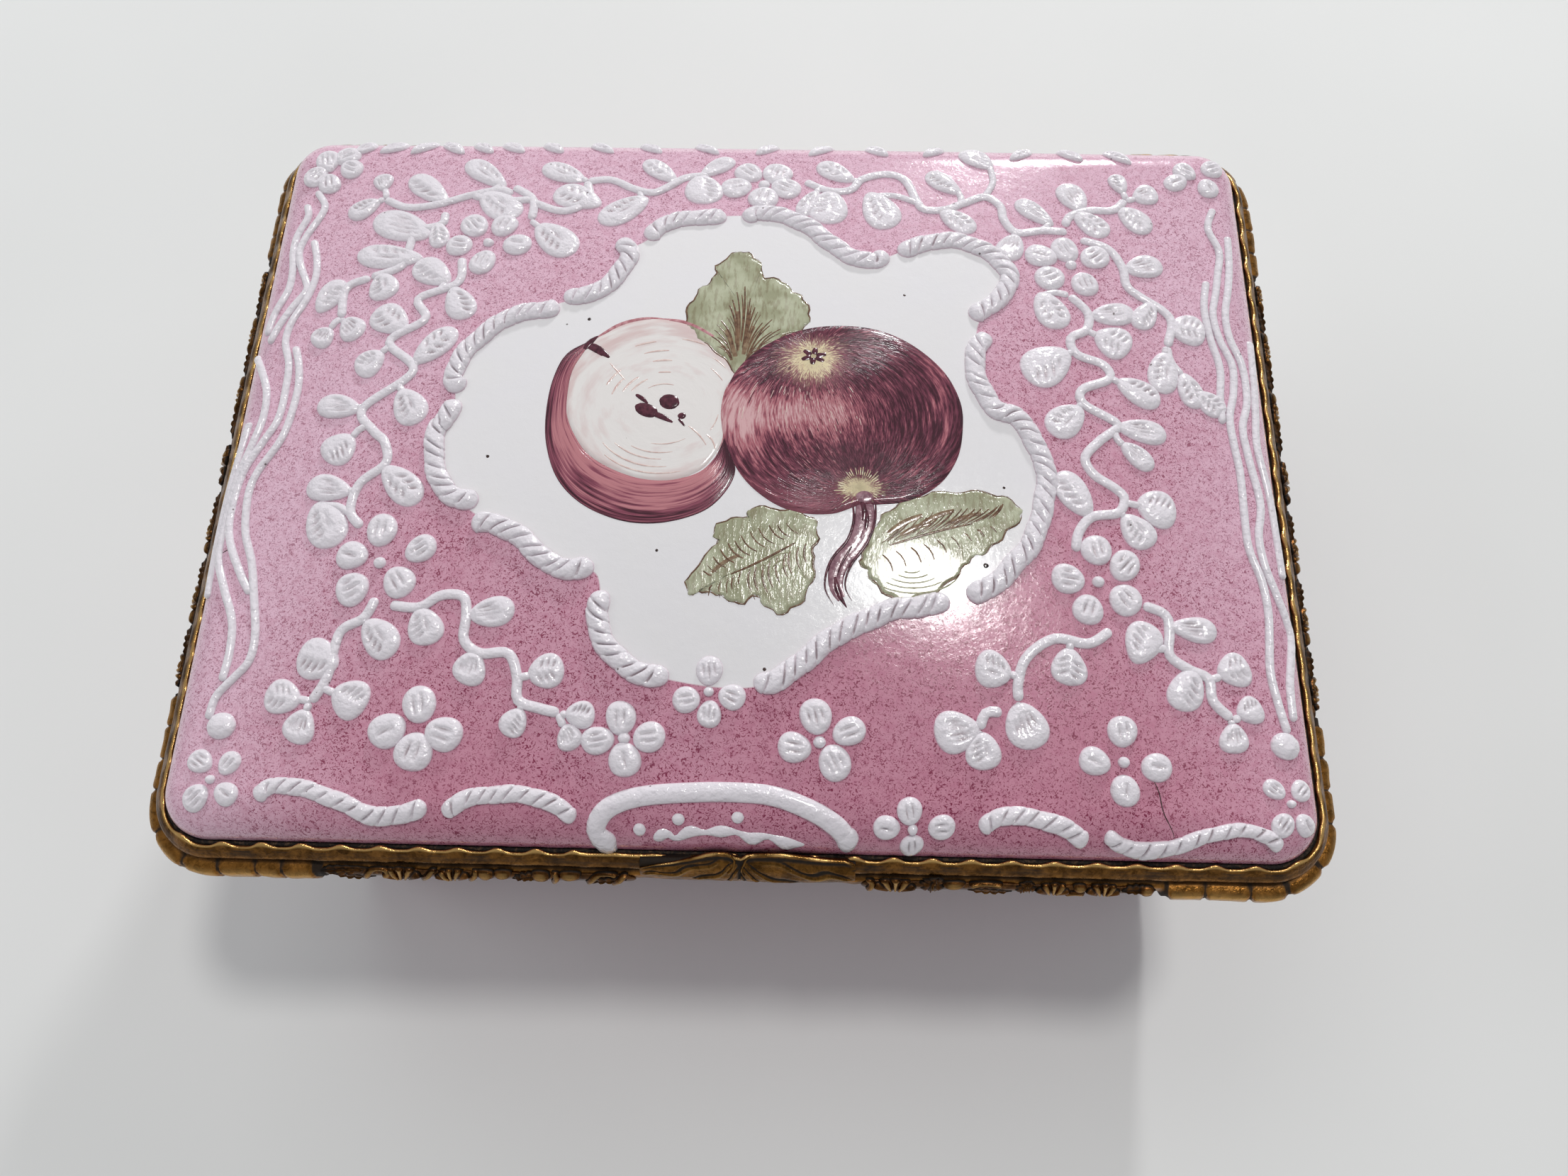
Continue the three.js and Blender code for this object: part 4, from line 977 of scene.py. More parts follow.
# Lid: the painted fruit
appleEdge = [
    (-1.7, 3.4), (-0.7, 5.5), (1.3, 7.5), (4.2, 9.0), (7.4, 9.5), (10.5, 9.1), (13.2, 7.7), (15.5, 5.4),
    (16.7, 2.7), (16.8, 0.2), (16.3, -2.3), (14.9, -4.5), (12.6, -6.0), (10.3, -6.4), (8.8, -6.5),
    (6.6, -7.3), (3.8, -7.2), (1.5, -6.1), (-0.4, -4.2), (-1.7, -1.5), (-2.1, 1.0),
]
fleshEdge = [
    (-13.0, 7.5), (-11.9, 8.4), (-10.4, 9.4), (-8.2, 9.9), (-5.4, 9.5), (-3.1, 8.2), (-1.5, 6.6), (-0.7, 5.2),
    (-1.7, 3.2), (-2.0, 1.0), (-1.8, -1.2), (-2.6, -3.0), (-3.7, -4.1), (-5.6, -4.8), (-7.9, -4.7),
    (-10.2, -3.9), (-12.2, -2.6), (-13.5, -0.8), (-14.3, 1.2), (-14.5, 3.4), (-14.2, 5.2),
]
crescentOuter = [
    (-12.6, 7.9), (-14.7, 6.6), (-15.6, 4.4), (-15.9, 1.6), (-15.7, -1.3), (-14.8, -4.1), (-13.4, -6.0),
    (-11.4, -7.4), (-8.7, -8.3), (-5.9, -8.3), (-3.1, -7.4), (-1.5, -5.9), (-0.7, -4.0), (-1.2, -2.2),
    (-1.75, -1.0),
]
crescentInner = [
    (-12.6, 7.9), (-13.3, 6.6), (-14.0, 5.0), (-14.2, 3.3), (-14.1, 1.0), (-13.4, -0.7), (-12.2, -2.4),
    (-10.2, -3.7), (-7.9, -4.5), (-5.6, -4.6), (-3.6, -4.0), (-2.5, -2.9), (-2.0, -1.9), (-1.8, -1.4),
    (-1.75, -1.0),
]


def crinkled(edge):
    # A leaf's outline with small waves along it, as a dense line that meets itself
    line = smoothPath(edge, 7, loop=True)[:-1]
    step = np.roll(line, -1, axis=0) - np.roll(line, 1, axis=0)
    step = step / np.hypot(*step.T)[:, None]
    wave = 0.12 * np.sin(np.arange(len(line)) * 0.95) + 0.06 * chance.uniform(-1, 1, len(line))
    return line + wave[:, None] * np.stack([step[:, 1], -step[:, 0]], axis=-1)


leafEdges = [
    [(-1.4, 17), (-3, 15.5), (-3.2, 14.2), (-4.2, 13), (-5.2, 11), (-5.1, 9.3), (-4, 7.8), (-2.4, 6.4),
     (-0.8, 4.7), (0.8, 6.6), (2.6, 8.2), (4.3, 9.2), (4.7, 10.3), (4.2, 12), (3.3, 12.8), (2.2, 14),
     (0.8, 14.3), (0.6, 15.5), (-0.3, 16.7)],
    [(-4, -13.7), (-3.8, -12.3), (-2, -9.8), (-2.3, -9), (-1.5, -8), (0.2, -7.6), (0.5, -6.9), (3, -7),
     (5.2, -7.6), (5.6, -9), (5.2, -10.5), (5.4, -12), (4.6, -14), (3, -15.1), (1.6, -14.3), (1.2, -13.7),
     (0, -14.4), (-1.2, -14), (-2.2, -13.6), (-3, -13.6)],
    [(9.8, -8.3), (11, -6.8), (13, -5.6), (16, -5), (19, -5.1), (20.8, -5.9), (21.1, -6.8), (19.8, -8.2),
     (18.5, -9.6), (17, -10.5), (16.2, -11.5), (14.5, -13), (12, -13.9), (10.5, -13.2), (9.5, -12),
     (8.8, -11), (9.2, -10)],
]
leafMiddles = [(-0.4, 10.5), (1.4, -10.8), (13.8, -9.4)]
leafRims = [crinkled(edge) for edge in leafEdges]


def brush(t):
    # A stroke swells quickly and leaves slowly
    return np.clip(np.sin(np.pi * t ** 0.75), 0, 1) ** 0.7


def inside(edge, x, y):
    hit = False
    for (ax, ay), (bx, by) in zip(edge, edge[1:] + edge[:1]):
        if (ay > y) != (by > y) and x < (bx - ax) * (y - ay) / (by - ay) + ax:
            hit = not hit
    return hit


def meridian(turn, start, end, count=6):
    # Points along a circle that runs through the eye and the stem hollow
    eye, hollow = np.array(fruit["eye"]), np.array(fruit["hollow"])
    half = np.hypot(*(hollow - eye)) / 2
    axis = (hollow - eye) / (2 * half)
    normal = np.array([-axis[1], axis[0]])
    t = np.linspace(start, end, count)
    low = np.cosh(t) - math.cos(turn)
    along, across = half * np.sinh(t) / low, half * math.sin(turn) / low
    return (eye + hollow) / 2 + along[:, None] * axis + across[:, None] * normal


def leafLines(edge, base, tip, sides):
    # Hatching from a leaf's midrib towards its edge; each side has a count, a reach and a lean
    edge, base, tip = np.array(edge), np.array(base, float), np.array(tip, float)
    length = np.hypot(*(tip - base))
    axis = (tip - base) / length
    normal = np.array([-axis[1], axis[0]])
    outline = smoothPath(edge, 8, loop=True)
    u, v = (outline - base) @ axis, (outline - base) @ normal
    lines = [[base, base + (tip - base) * 0.5 + normal * 0.25, tip - (tip - base) * 0.03]]
    for sign, (count, reach, lean) in zip((1, -1), sides):
        for k in range(count):
            start = length * (0.02 + 0.8 * (k + 0.5) / count) + chance.uniform(-0.1, 0.1)
            end = min(start + length * lean, length * 0.95)
            here = (v * sign > 0.05) & (np.abs(u - end) < 0.9)
            if here.any():
                width = np.abs(v[here]).max() * reach * chance.uniform(0.8, 1.0)
                goal = base + axis * end + normal * sign * width
                root = base + axis * start + normal * sign * 0.12
                bend = 0.5 * (root + goal) + axis * 0.12 * width - normal * sign * 0.1 * width
                lines.append([root, bend, goal])
    return lines


def fanLines(edge, base, count):
    # Veins that all spring from the leaf's base and bow outwards to its edge
    base = np.array(base, float)
    outline = edge[np.hypot(*(edge - base).T) > 3.2]
    first = np.argmax(np.hypot(*np.diff(outline, axis=0).T)) + 1
    outline = np.roll(outline, -first, axis=0)
    lines = []
    for share in np.linspace(0.02, 0.98, count):
        target = outline[int(share * (len(outline) - 1))]
        reach = chance.uniform(0.7, 0.97)
        run = target - base
        side = np.array([-run[1], run[0]]) * (0.5 - share) * 0.3
        start = chance.uniform(0.03, 0.16)
        middle = base + run * (0.5 * reach + start * 0.3) + side
        lines.append([base + run * start, middle, base + run * reach + side * 0.3])
    return lines


def strokes(name, kind, rows, lift=0.05):
    # Brush strokes, each a row of half its width and its points
    pieces = [ridge(name, line, onLid, half, lift, sink=0.02, step=0.4, sides=4, swell=brush)
              for half, line in rows]
    return painted(joined(pieces, name), kind)


def buildFruit():
    painted(patch("paintedFlesh", fleshEdge, (-7.8, 2.4), onLid, 0.03), "flesh")
    painted(strip("paintedCrescent", crescentOuter, crescentInner, onLid, 0.045), "crescent")
    for k, (edge, middle) in enumerate(zip(leafRims, leafMiddles)):
        painted(patch(f"paintedLeaf{k + 1}", edge, middle, onLid, 0.035, parts=1), "leaf")
    painted(patch("paintedApple", appleEdge, (7.0, 1.2), onLid, 0.055), "apple")


def buildAppleStrokes():
    # Fine strokes along the meridians: plum over the dark parts, rose and blush over the light band
    plans = {"plum": (300, 0.06), "rose": (170, 0.05), "blush": (60, 0.05)}
    for kind, (count, half) in plans.items():
        rows = []
        while len(rows) < count:
            turn = chance.uniform(0, 2 * math.pi)
            start = chance.uniform(-3.2, 2.6)
            line = meridian(turn, start, start + chance.uniform(0.2, 0.55))
            x, y = line[len(line) // 2]
            length = np.hypot(*(line[-1] - line[0]))
            offBand = abs(y - 1.3 - (x - 4) * 0.1)
            light = -2.5 < x < 9.0 and offBand < 2.2
            wanted = {"plum": not (light and offBand < 1.1), "rose": x < 8, "blush": light}[kind]
            if wanted and 0.6 < length < 2.6 and all(inside(appleEdge, *p) for p in line):
                rows.append((half * chance.uniform(0.6, 1.3), line))
        strokes(f"appleStrokes{kind.capitalize()}", kind, rows, 0.085)
    rays = [meridian(turn, 2.7, chance.uniform(1.5, 2.1)) for turn in np.linspace(0.2, 2 * math.pi, 44)]
    rays += [meridian(turn, -2.7, chance.uniform(-2.2, -1.8)) for turn in np.linspace(0.1, 2 * math.pi, 34)]
    rays = [ray for ray in rays
            if np.hypot(*(ray[-1] - ray[0])) < 1.9 and all(inside(appleEdge, *p) for p in ray)]
    strokes("appleCreamRays", "cream", list(zip(chance.uniform(0.03, 0.06, len(rays)), rays)), 0.09)


def ring(middle, radius, start, end, squeeze=1.0, count=7):
    turn = np.radians(np.linspace(start, end, count))
    return [(middle[0] + radius * math.cos(a), middle[1] + radius * squeeze * math.sin(a)) for a in turn]


# Strokes over the fruit, each a row of half its width and its points
heartDabs = [
    (0.26, [(-8.9, 2.7), (-8.3, 2.3), (-7.7, 1.7)]), (0.32, [(-7.8, 1.1), (-6.7, 0.7), (-5.5, 0.0)]),
    (0.3, [(-8.8, 1.7), (-7.4, 0.95)]), (0.34, [(-13.4, 6.8), (-12.9, 7.6), (-12.2, 8.3)]),
    (0.38, [(-12.8, 7.5), (-11.9, 6.7), (-11.0, 5.9)]), (0.34, [(-13.3, 7.3), (-12.4, 6.9), (-11.6, 6.1)]),
    (0.2, [(-5.4, 0.5), (-5.0, 0.2), (-4.8, -0.3)]),
]
fleshCuts = [
    (0.1, [(-11.4, 5.9), (-10.3, 4.6), (-9.2, 3.3)]), (0.1, [(-4.9, 0.2), (-3.6, -1.0), (-2.6, -2.6)]),
    (0.1, [(-3.4, -0.6), (-2.6, -1.4), (-2.2, -2.8)]),
]
stemBody = [
    (0.7, [(8.7, -5.2), (8.9, -7.7), (8.3, -9.5), (7.1, -11), (6.8, -13), (7.6, -14.5)]),
    (0.6, [(9.5, -5.2), (9.4, -7.8), (8.9, -9.4), (7.6, -11.2), (7.3, -12.8), (7.9, -14.2)]),
]
stemLines = [
    (0.14, [(8.15, -5.8), (8.3, -7.7), (7.8, -9.4), (6.6, -11), (6.2, -13), (7.1, -14.7)]),
    (0.14, [(9.95, -5.8), (9.9, -7.7), (9.3, -9.5), (8.1, -11.3), (7.7, -12.9), (8.4, -14.3)]),
    (0.3, [(8.8, -5.8), (9.1, -7.0), (8.9, -8.4)]), (0.26, [(9.2, -6.6), (9.3, -7.8), (9.0, -9.2)]),
    (0.14, [(8.4, -9.4), (7.4, -11.2), (7.0, -12.6)]), (0.24, [(6.9, -12.0), (7.2, -13.4), (7.9, -14.6)]),
]
leafShadows = [
    (0.34, [(-0.9, 5.2), (-1.7, 8.0), (-2.8, 10.6)]), (0.36, [(-0.7, 5.4), (-0.1, 8.4), (1.2, 11.0)]),
    (0.3, [(-0.9, 5.4), (-1.1, 9.0), (-1.3, 13.4)]), (0.4, [(10.0, -9.4), (12.4, -7.6), (15.6, -6.4)]),
    (0.36, [(12.0, -8.9), (14.8, -7.0), (18.2, -6.1)]), (0.3, [(14.5, -8.2), (17.0, -7.0), (19.8, -6.4)]),
    (0.34, [(11.0, -9.3), (13.2, -8.0), (16.0, -7.4)]), (0.26, [(-2.9, -12.7), (-0.9, -11.0), (1.6, -10.3)]),
]
# Arcs round the cut apple's heart: radius, start and end in degrees, half width
heartRings = [
    (2.2, 60, 150, 0.08), (3.0, 110, 165, 0.13), (3.6, 120, 170, 0.14), (4.3, 135, 175, 0.14),
    (5.1, 130, 165, 0.14), (4.6, 80, 112, 0.14), (5.6, 84, 118, 0.12), (3.4, 78, 108, 0.12),
    (6.6, 95, 120, 0.12), (5.0, 215, 290, 0.09), (5.7, 205, 300, 0.1), (6.3, 215, 310, 0.1),
    (4.4, 230, 300, 0.08), (6.1, 10, 60, 0.1), (5.2, 10, 55, 0.08), (6.9, 60, 88, 0.12),
    (3.6, 250, 320, 0.07), (5.3, -40, -8, 0.1), (4.4, -36, 0, 0.08),
]


def buildHeart():
    # The eye of the whole apple, and seeds, rings and cuts of the other
    eye = fruit["eye"]
    eyeLobes = [(0.36, ring(eye, 0.1, turn, turn, 0.78, 1) + ring(eye, 1.3, turn, turn, 0.78, 1))
                for turn in (15, 80, 140, 205, 265, 325)]
    strokes("darkDabs", "plum", eyeLobes + heartDabs, 0.11)
    seeds = [laid(pads["plain"], onLid, (-7.9, 1.25), (2.1, 1.2), math.radians(-24), high=0.12, sink=0.02),
             laid(pads["plain"], onLid, (-6.15, 2.0), (1.7, 1.4), math.radians(-15), high=0.12, sink=0.02),
             laid(pads["plain"], onLid, (-5.1, 0.75), (0.7, 0.6), high=0.1, sink=0.02)]
    painted(joined(seeds, "appleSeeds"), "plum")
    rows = []
    for radius, start, end, half in heartRings:
        line = [p for p in ring(fruit["heart"], radius, start, end, 0.92) if inside(fleshEdge, *p)]
        if len(line) > 3:
            rows.append((half, line))
    strokes("fleshRings", "blush", rows, 0.06)
    strokes("fleshCuts", "blush", fleshCuts, 0.06)
    strokes("fleshRim", "rose", [(0.24, fleshEdge[0:5]), (0.24, fleshEdge[3:8]), (0.16, fleshEdge[6:12])])


def buildStem():
    top = laid(pads["plain"], onLid, (9.1, -5.8), (1.6, 1.3), high=0.09, sink=0.02)
    painted(joined([top], "stemTop"), "stemTone")
    strokes("fruitStem", "stemTone", stemBody, 0.07)
    strokes("stemLines", "plum", stemLines, 0.1)


def buildLeafLines():
    # Base and tip of the two lower leaves; for each side the number of veins, their reach and their lean
    plans = [((5.2, -8.9), (-3.8, -13.5), [(14, 0.86, 0.1), (12, 0.86, 0.08)]),
             ((9.3, -10.2), (21.0, -6.7), [(18, 0.92, 0.34), (9, 0.7, 0.05)])]
    groups = [fanLines(leafRims[0], (-0.8, 4.9), 34)]
    groups += [leafLines(edge, *plan) for edge, plan in zip(leafEdges[1:], plans)]
    for k, lines in enumerate(groups):
        halves = [0.15] + list(chance.uniform(0.06, 0.14, len(lines) - 1))
        strokes(f"leafVeins{k + 1}", "brown", list(zip(halves, lines)), 0.06)
    loops = [ring((12.6, -11.2), radius, 200, 395, 0.55, 9) for radius in (0.9, 1.6, 2.3, 3.0, 3.7)]
    loops += [ring((3.6, -12.0), radius, 60, 250, 0.8, 7) for radius in (0.8, 1.4, 2.0)]
    strokes("leafLoops", "moss", [(0.1, loop) for loop in loops], 0.06)
    strokes("leafShadows", "umber", leafShadows, 0.055)
    outlines = []
    for edge in leafRims:
        full = np.vstack([edge, edge[:1]])
        outlines += [full[k:k + 23] for k in range(0, len(full) - 2, 20)]
    strokes("leafOutlines", "brown", list(zip(chance.uniform(0.08, 0.14, len(outlines)), outlines)), 0.055)


buildFruit()
buildAppleStrokes()
buildHeart()
buildStem()
buildLeafLines()
print("painted fruit done")


# Mounts. The gilding's mark is above 0 on what stands out, rubbed gilding with a painted highlight, and below 0
# in the recesses and under things, patina with painted shade
rimForm = {
    "waves": 100, "waveRise": 0.18, "waveSwing": 0.15, "step": 0.16,
    "castThick": 0.16, "castHalf": 1.25, "castLift": 0.62,
}


def window(s, low, high, soft=1.0):
    # 1 between two places on the front, 0 elsewhere; s is folded to the front's middle
    at = np.mod(s + roundLength / 2, roundLength) - roundLength / 2
    return smoothStep(low - soft, low, at) * (1 - smoothStep(high, high + soft, at))


def wander(s, pitch, seed):
    # A smooth wavering line between -1 and 1 that closes on itself
    count = max(4, int(roundLength / pitch))
    knots = np.random.default_rng(seed).uniform(-1, 1, count)
    t = np.mod(s, roundLength) / roundLength * count
    k = np.floor(t).astype(int)
    f = t - k
    f = f * f * (3 - 2 * f)
    return knots[k % count] * (1 - f) + knots[(k + 1) % count] * f


def buildLidBezel():
    s = np.linspace(0, roundLength, int(roundLength / rimForm["step"]))[:, None]
    phase = 2 * np.pi * rimForm["waves"] * s / roundLength + 0.5 * wander(s, 9, 4)
    swing = (np.cos(phase) + 0.25 * np.cos(2 * phase)) * (1 - 0.8 * window(s, -11, -2))
    swing = swing * (0.85 + 0.3 * wander(s, 7, 5))
    lip, lean = rimForm["waveRise"] * swing, -rimForm["waveSwing"] * swing
    # The lip closes on the enamel, less so at the right, where the cement shows
    lean = lean - 0.1 + 0.14 * window(s, 44, 100, 6)
    # Offset, height, shares of the lip's rise and of its swing, and the gilding's mark of rubbing, painted
    # highlight and painted shade
    profile = [
        (-1.4, 33.0, 0, 0, -0.2), (1.1, 33.0, 0, 0, -0.3), (1.21, 33.05, 0, 0, 0.2), (1.25, 33.15, 0, 0, 0.6),
        (1.24, 33.26, 0, 0, 0.35), (1.19, 33.38, 0, 0, 0.05), (1.1, 33.5, 0.05, 0.1, -0.1),
        (1.0, 33.62, 0.15, 0.2, -0.16), (0.92, 33.74, 0.35, 0.4, -0.05), (0.8, 33.88, 0.7, 0.8, -0.1),
        (0.68, 33.98, 1, 1, 0.3), (0.57, 34.04, 1, 1, 0.95), (0.46, 34.04, 1, 1, 0.8),
        (0.37, 33.96, 1, 0.9, 0.1), (0.34, 33.7, 0, 0, -0.5), (0.34, 33.4, 0, 0, -0.5),
        (-1.4, 33.4, 0, 0, -0.2),
    ]
    d, z, up, out, wearAndLight = (np.array(column)[None] for column in zip(*profile))
    dent = 0.03 * wander(s, 1.6, 8) + 0.015 * wander(s, 0.6, 9)
    x, y = around(s, np.maximum(d + out * lean + dent * (d > 0.5), np.minimum(d, 0.16)))[:2]
    points = np.stack([x, y, z + up * lip + 0 * s + dent * (z > 33.5)], axis=-1)
    # The wave's crests are brighter: a painted highlight on the lip
    marks = {"wearAndLight": closed(wearAndLight + 0.35 * up * swing + 0.08 * wander(s, 3, 12) * (wearAndLight > -0.3))}
    return gilded(wrapped("lidWaveBezel", closed(points), marks), "giltBand", "lid", "lid_bezel")


def buildCement():
    # Old cement, crumbled to lumps along the enamel's edge
    s = np.linspace(0, roundLength, int(roundLength / 0.2))[:, None]
    rough = 0.06 * wander(s, 0.5, 21) + 0.05 * wander(s, 1.4, 22)
    rough = rough + 0.16 * window(s, -12, -1) + 0.05 * window(s, 8, 40)
    profile = [(0.03, 33.5, 0), (0.33, 33.5, 0), (0.34, 33.72, 0.6), (0.24, 33.82, 1), (0.12, 33.84, 1),
               (0.03, 33.74, 0.6)]
    d, z, up = (np.array(column)[None] for column in zip(*profile))
    x, y = around(s, d + 0 * s)[:2]
    crumbs = wrapped("lidCementCrumbs", closed(np.stack([x, y, z + up * rough], axis=-1)))
    return dressed(crumbs, paints["cement"], "lid", "dark_cement", "lid_cement")


def cutPlaces():
    # Where the gadroons are cut apart: the front as in the picture, the other corners evenly
    corner = [k * (legEnds[2] - legEnds[1]) / 3 for k in (1, 2, 3)]
    frontRight = [31.9, 34.7, 38.0, 40.2, 42.3, 44.6, 47.0, 49.5, 52.0]
    frontLeft = [-31.1, -33.5, -35.5, -38.3, -40.3, -42.4, -44.6, -47.0, -49.6, -52.0]
    groups = [frontRight, frontLeft[::-1]]
    for leg in (3, 5):
        start, end = legEnds[leg], legEnds[leg + 1]
        before = [start - k * 2.47 for k in (3, 2, 1, 0)]
        after = [end + k * 2.47 for k in (1, 2, 3)]
        groups.append(before + [start + c for c in corner] + after)
    return groups


def lobes(s):
    # Swell of the gadroons: flat blocks with narrow cuts between them, 0 on the plain stretches
    swell = np.zeros_like(s)
    at = np.mod(s + roundLength / 2, roundLength) - roundLength / 2
    for group in cutPlaces():
        for low, high in zip(group[:-1], group[1:]):
            for shift in (0, -roundLength):
                f = np.clip((at - low - shift) / (high - low), 0, 1)
                swell = np.maximum(swell, quarterRound((np.minimum(f, 1 - f) * (high - low) - 0.1) / 0.3))
    return swell


def withEnds(points, wearAndLighting):
    # A row at each end that shrinks to one point, so that an open run is closed
    ends = [np.repeat(points[k].mean(axis=0)[None], points.shape[1], axis=0)[None] for k in (0, -1)]
    return np.concatenate([ends[0], points, ends[1]]), np.concatenate([wearAndLighting[:1], wearAndLighting, wearAndLighting[-1:]])


def buildGirdle():
    # It stops short of the hinge at both sides
    hingeHalf = 25.3
    back = roundLength / 2
    count = int((roundLength - 2 * hingeHalf) / rimForm["step"])
    s = np.linspace(back + hingeHalf, back - hingeHalf + roundLength, count)[:, None]
    # Offset, height, share of the gadroons' swell, and the gilding's mark of rubbing, painted highlight and
    # painted shade
    profile = [
        (0.57, 30.19, 0, -0.3), (1.1, 30.17, 0.1, -0.1), (1.5, 30.36, 0.6, 0.1), (1.78, 30.7, 0.9, 0.15),
        (1.88, 31.15, 1, 0.2), (1.9, 31.6, 1, 0.25), (1.88, 32.0, 1, 0.3), (1.8, 32.26, 0.85, 0.3),
        (1.6, 32.42, 0.6, 0.15), (1.3, 32.48, 0.2, -0.2), (0.57, 32.49, 0, -0.5),
    ]
    d, z, grow, wearAndLight = (np.array(column)[None] for column in zip(*profile))
    swell = lobes(s + 0.22 * (z - 31.3))
    dent = (0.04 * wander(s, 1.1, 31) + 0.03 * wander(s + 40 * z, 0.7, 32)) * (grow > 0)
    plainWork = 1 - window(lobes(s + 0.6) + lobes(s - 0.6) + lobes(s), 0.05, 9, 0.05)
    reach = d + grow * (0.28 * swell + 0.2 - 0.36 * plainWork) + dent + 0.05 * wander(s, 2.4, 33) * grow
    x, y = around(s, reach)[:2]
    points = np.stack([x, y, z + 0 * s + 0.04 * swell * grow * (z > 32)], axis=-1)
    # The gadroons' tops are bright, rubbing with a painted highlight; the cuts and the plain stretches are
    # darker
    wearAndLighting = wearAndLight + (1.1 * (swell - 0.8)) * grow * (1 - plainWork) - 0.35 * plainWork * grow
    points, wearAndLighting = withEnds(points, wearAndLighting)
    girdle = wrapped("baseGadroonGirdle", closed(points), {"wearAndLight": closed(wearAndLighting)})
    return gilded(girdle, "gilt", "base", "base_girdle")


def makeShell(name, ribs=5, spread=160):
    # A fan of ribs, tip at the origin, radius 1. The pattern for the cast shells
    turn = np.radians(np.linspace(90 - spread / 2, 90 + spread / 2, ribs * 8 + 1))[None]
    share = np.array([0.02, 0.12, 0.35, 0.6, 0.8, 0.93, 1.0, 0.02])[:, None]
    fan = (turn - turn[0, 0]) / (turn[0, -1] - turn[0, 0])
    rib = np.abs(np.sin(fan * ribs * np.pi)) ** 0.7
    reach = share * (1 - 0.14 * (1 - rib) * (share > 0.7))
    rise = np.sqrt(np.clip(1 - np.abs(2 * share - 1.15) ** 4, 0, 1)) * (0.25 + 0.75 * rib)
    rise = rise * np.sin(np.clip(fan, 0, 1) * np.pi) ** 0.25
    rise[[0, -1]] = 0
    rise[-2] = 0.15
    points = np.stack([reach * np.cos(turn), reach * np.sin(turn), rise], axis=-1)
    # The ribs' tops carry a painted highlight, the low parts painted shade
    return wrapped(name, points, {"wearAndLight": (rise - 0.55) * 1.3})


def makeCastLeaf(name):
    # A pointed leaf with a midrib and a lobed edge, base at the origin, length 1
    u = np.linspace(0, 1, 17)[:, None]
    lobing = np.cos(u * 5 * 2 * np.pi)
    half = 0.36 * np.sin(np.pi * u ** 0.8) ** 0.8 * (1 + 0.25 * lobing)
    v = np.array([-1, -0.8, -0.45, -0.14, 0, 0.14, 0.45, 0.8, 1, -1])[None]
    besideRib = 0.5 * np.exp(-((np.abs(v) - 0.14) / 0.1) ** 2)
    rise = 0.75 * (1 - np.abs(v) ** 3) - besideRib + 0.35 * np.exp(-(v / 0.08) ** 2)
    rise = np.clip(rise * (0.8 + 0.2 * lobing), 0, 1.2) * np.sin(np.pi * np.clip(u, 0.02, 0.98)) ** 0.4
    rise[:, [0, 8, 9]] = 0
    points = np.stack([u + 0 * v, half * v, rise], axis=-1)
    # The leaf's raised parts carry a painted highlight, the low parts painted shade
    return wrapped(name, points, {"wearAndLight": (rise - 0.5) * 1.2})


castings = {"shell": makeShell("castShell"), "leaf": makeCastLeaf("castLeaf")}


def wearByHeight(piece, low, gain):
    # Ridges and pads carry the mark rise. The gilding reads its mark of rubbing with painted highlight and
    # shade, so it is filled in from the height: bright on top, dark low down
    values = np.zeros(len(piece.data.vertices), np.float32)
    piece.data.attributes["rise"].data.foreach_get("value", values)
    mark(piece, "wearAndLight", (values - low) * gain)


def onCasting(s, girth, rise):
    # The face of a casting's ground, which lies on the girdle like a flat bar with round edges
    bulge = rimForm["castThick"] * np.sqrt(np.clip(1 - (np.asarray(girth) / rimForm["castHalf"]) ** 4, 0, 1))
    return onGirdle(s, girth, rise + bulge)


def cast(kind, s, girth, size, angle, high=0.3):
    # A bead, shell or leaf of a casting, at s along the girdle
    place = (s, girth + rimForm["castLift"])
    if kind == "bead":
        size = [1.2 * side for side in size]
        return laid(pads["plain"], onCasting, place, size, angle, high=high, uneven=0.06)
    size = [2.4 * side for side in size]
    return laid(castings[kind], onCasting, place, size, angle, high=high, sink=0.12, uneven=0.05)


def scroll(points, half=0.27, high=0.3):
    places = [(s, girth + rimForm["castLift"]) for s, girth in points]
    return ridge("castScroll", places, onCasting, half, high, sink=0.12, step=0.2, sides=7)


def castGround(start, end, seed):
    # The bar under a casting's ornament, with an uneven outline
    def uneven(t):
        run = t * (end - start)
        ends = quarterRound(np.minimum(t, 1 - t) * (end - start) / 0.8)
        return ends * (0.86 + 0.1 * wander(run + start, 1.5, seed) + 0.05 * wander(run, 0.6, seed + 1))
    path = [(s, 0.05) for s in np.linspace(start, end, 9)]
    return ridge("castGround", path, onGirdle, rimForm["castHalf"], rimForm["castThick"], step=0.3, sides=11,
                 swell=uneven)


def castSet(pieces, name, node):
    for piece in pieces:
        # The bar under the ornaments is darker, patina with painted shade; the ornaments are bright on top,
        # rubbing with a painted highlight
        if piece.name.startswith("castGround"):
            wearByHeight(piece, 1.6, 0.1)
        elif "wearAndLight" not in piece.data.attributes:
            wearByHeight(piece, 0.6, 1.2)
    return gilded(joined(pieces, name), "giltCast", "base", node)


